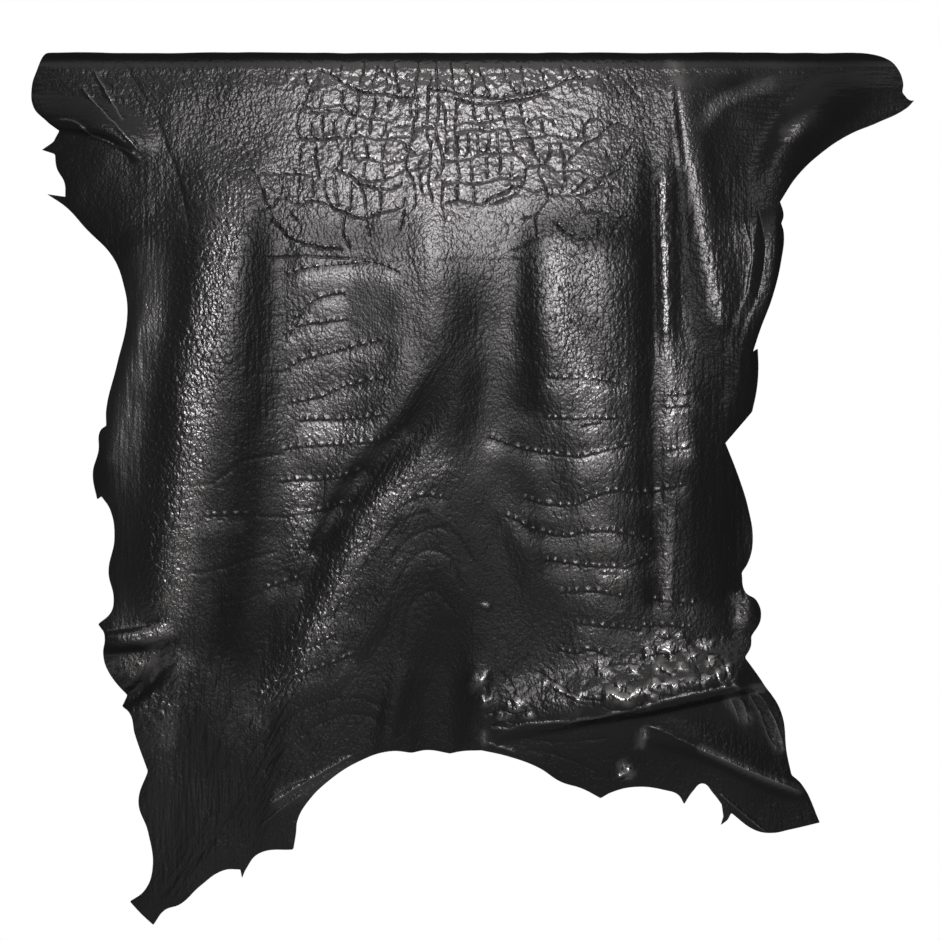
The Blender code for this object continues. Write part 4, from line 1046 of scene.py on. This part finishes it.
def grain_material():
    """Glossy black grain, whose bump and gloss follow the surface values of the mesh."""
    material, tree, shader = new_material("black_grain")
    place = add_node(tree, "TexCoord", "Object", {})

    def total(first, second):
        return add_node(tree, "Math", "Value", {0: first, 1: second}, operation="ADD")

    def product(first, second):
        return add_node(tree, "Math", "Value", {0: first, 1: second}, operation="MULTIPLY")

    def cloud(place, bump, output="Fac"):
        return noise(tree, place, bump.size, bump.detail, output)

    def voronoi(place, bump, feature):
        return add_node(tree, "TexVoronoi", "Distance", {"Vector": place, "Scale": 1 / bump.size},
                        feature=feature)

    def stretched(scale, turn=0.0):
        return add_node(tree, "Mapping", "Vector", {
            "Vector": place, "Rotation": (0.0, turn, 0.0), "Scale": scale}, vector_type="TEXTURE")

    def weight(name):
        return add_node(tree, "Attribute", "Fac", {}, attribute_name=name)

    def streaks(name, bump, scale, turn=0.0):
        """Noise drawn out one way, as strong as the surface value of a given name."""
        return product(cloud(stretched(scale, turn), bump), weight(name))

    bent = add_node(tree, "VectorMath", "Vector", {
        0: cloud(place, CELL_WANDER, "Color"), 1: (CELL_WANDER.height * MM,) * 3,
        2: stretched(CELL_STRETCH)}, operation="MULTIPLY_ADD")
    away = voronoi(bent, PEBBLES, "F1")
    domes = product(product(away, away), -1.0)
    tops = add_node(tree, "MapRange", "Result", {
        "Value": voronoi(bent, PUFFED_CELLS, "DISTANCE_TO_EDGE"), "From Max": CELL_GROOVE},
        interpolation_type="SMOOTHSTEP")
    crinkle, gloss_and_painted_light = weight("crinkle"), weight("gloss_and_painted_light")
    parts = (
        (PEBBLES, product(domes, total(crinkle, PLAIN_CRINKLE))),
        (PUFFED_CELLS, product(tops, crinkle)),
        (SOFT_SWELLS, cloud(place, SOFT_SWELLS)),
        (SPECKS, cloud(place, SPECKS)),
        (LONG_STREAKS, streaks("streaks_down", LONG_STREAKS, STRETCH_DOWN)),
        (CROSS_STREAKS, streaks("streaks_across", CROSS_STREAKS, STRETCH_ACROSS)),
        (LONG_STREAKS, streaks("streaks_slant", LONG_STREAKS, STRETCH_DOWN, STREAK_SLANT)),
        (PUCKERS, product(cloud(place, PUCKERS), weight("puckers"))),
    )
    height = 0.0
    for bump, part in parts:
        height = total(height, product(part, bump.height))
    normal = add_node(tree, "Bump", "Normal", {"Height": height, "Strength": 1.0, "Distance": MM})
    # The mean stays behind the link, for a reader that follows no links.
    fill(tree, shader, {"Specular IOR Level": MEAN_GLOSS})
    # The painted highlights and shade of that surface value set the gloss and roughness here.
    rough, gloss = (total(product(gloss_and_painted_light, added), plain) for plain, added in (ROUGHNESS, GLOSS))
    fill(tree, shader, {"Normal": normal, "Roughness": rough, "Specular IOR Level": gloss,
                        "Base Color": BLACK, "IOR": GRAIN_IOR})
    return material


def fibrous_material(name, dark, light, fibre, depth):
    """Rough bare leather in two tones, with fibres of a given size and depth in metres."""
    material, tree, shader = new_material(name)
    place = add_node(tree, "TexCoord", "Object", {})
    cloud, fibres = (noise(tree, place, size, FIBRE_DETAIL)
                     for size in (fibre * FIBRES_IN_CLOUD, fibre))
    tone = add_node(tree, "Mix", MIX_RESULT, {
        "Factor": cloud, MIX_FIRST: dark, MIX_SECOND: light}, data_type="RGBA")
    normal = add_node(tree, "Bump", "Normal", {"Height": fibres, "Distance": depth})
    fill(tree, shader, {"Base Color": tone, "Normal": normal, "Roughness": BARE_ROUGHNESS,
                        "Specular IOR Level": BARE_GLOSS})
    return material


def make_camera():
    data = bpy.data.cameras.new("camera")
    data.sensor_width = SENSOR
    data.lens = SENSOR * CAMERA_DISTANCE / FRAME_WIDTH
    data.clip_end = CAMERA_SIGHT
    camera = add_object("camera", data)
    camera.location = (CAMERA_X, HIDE_PLANE - CAMERA_DISTANCE, CAMERA_Z)
    camera.rotation_euler = (math.pi / 2, 0.0, 0.0)
    bpy.context.scene.camera = camera


def make_lights():
    for light in LIGHTS:
        data = bpy.data.lights.new(light.name, "AREA")
        data.shape = "RECTANGLE"
        data.size, data.size_y = light.size
        data.energy = light.power
        data.color = light.colour
        lamp = add_object(light.name, data)
        lamp.location = light.place
        aim = Vector(light.target) - Vector(light.place)
        lamp.rotation_euler = aim.to_track_quat("-Z", "Y").to_euler()


def make_world():
    """A dim white room that the camera itself sees as plain white."""
    world = bpy.data.worlds.new("studio")
    world.use_nodes = True
    bpy.context.scene.world = world
    tree = world.node_tree
    room = tree.nodes["Background"]
    fill(tree, room, {"Color": WHITE, "Strength": ROOM_STRENGTH})
    white = add_node(tree, "Background", "Background", {"Color": WHITE})
    seen = add_node(tree, "LightPath", "Is Camera Ray", {})
    mixed = add_node(tree, "MixShader", "Shader", {
        "Fac": seen, 1: room.outputs["Background"], 2: white})
    fill(tree, tree.nodes["World Output"], {"Surface": mixed})


def make_floor():
    mesh = bpy.data.meshes.new("floor")
    left, right, near, far = FLOOR_SPAN
    mesh.from_pydata([(left, near, FLOOR_HEIGHT), (right, near, FLOOR_HEIGHT),
                      (right, far, FLOOR_HEIGHT), (left, far, FLOOR_HEIGHT)], [], [(0, 1, 2, 3)])
    material, tree, shader = new_material("pale_floor")
    fill(tree, shader, {"Base Color": FLOOR_COLOUR, "Roughness": FLOOR_ROUGHNESS})
    mesh.materials.append(material)
    floor = add_object("floor", mesh)


def main():
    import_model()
    bpy.context.scene.view_settings.view_transform = "Standard"
    mesh = build_hide()
    for material in (grain_material(), fibrous_material("suede_flesh", *FLESH),
                     fibrous_material("raw_edge", *CUT_EDGE)):
        mesh.materials.append(material)
    hide = add_object("hide_leather", mesh)
    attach(hide, "root")
    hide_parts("hide")
    make_floor()
    make_world()
    make_lights()
    make_camera()


main()
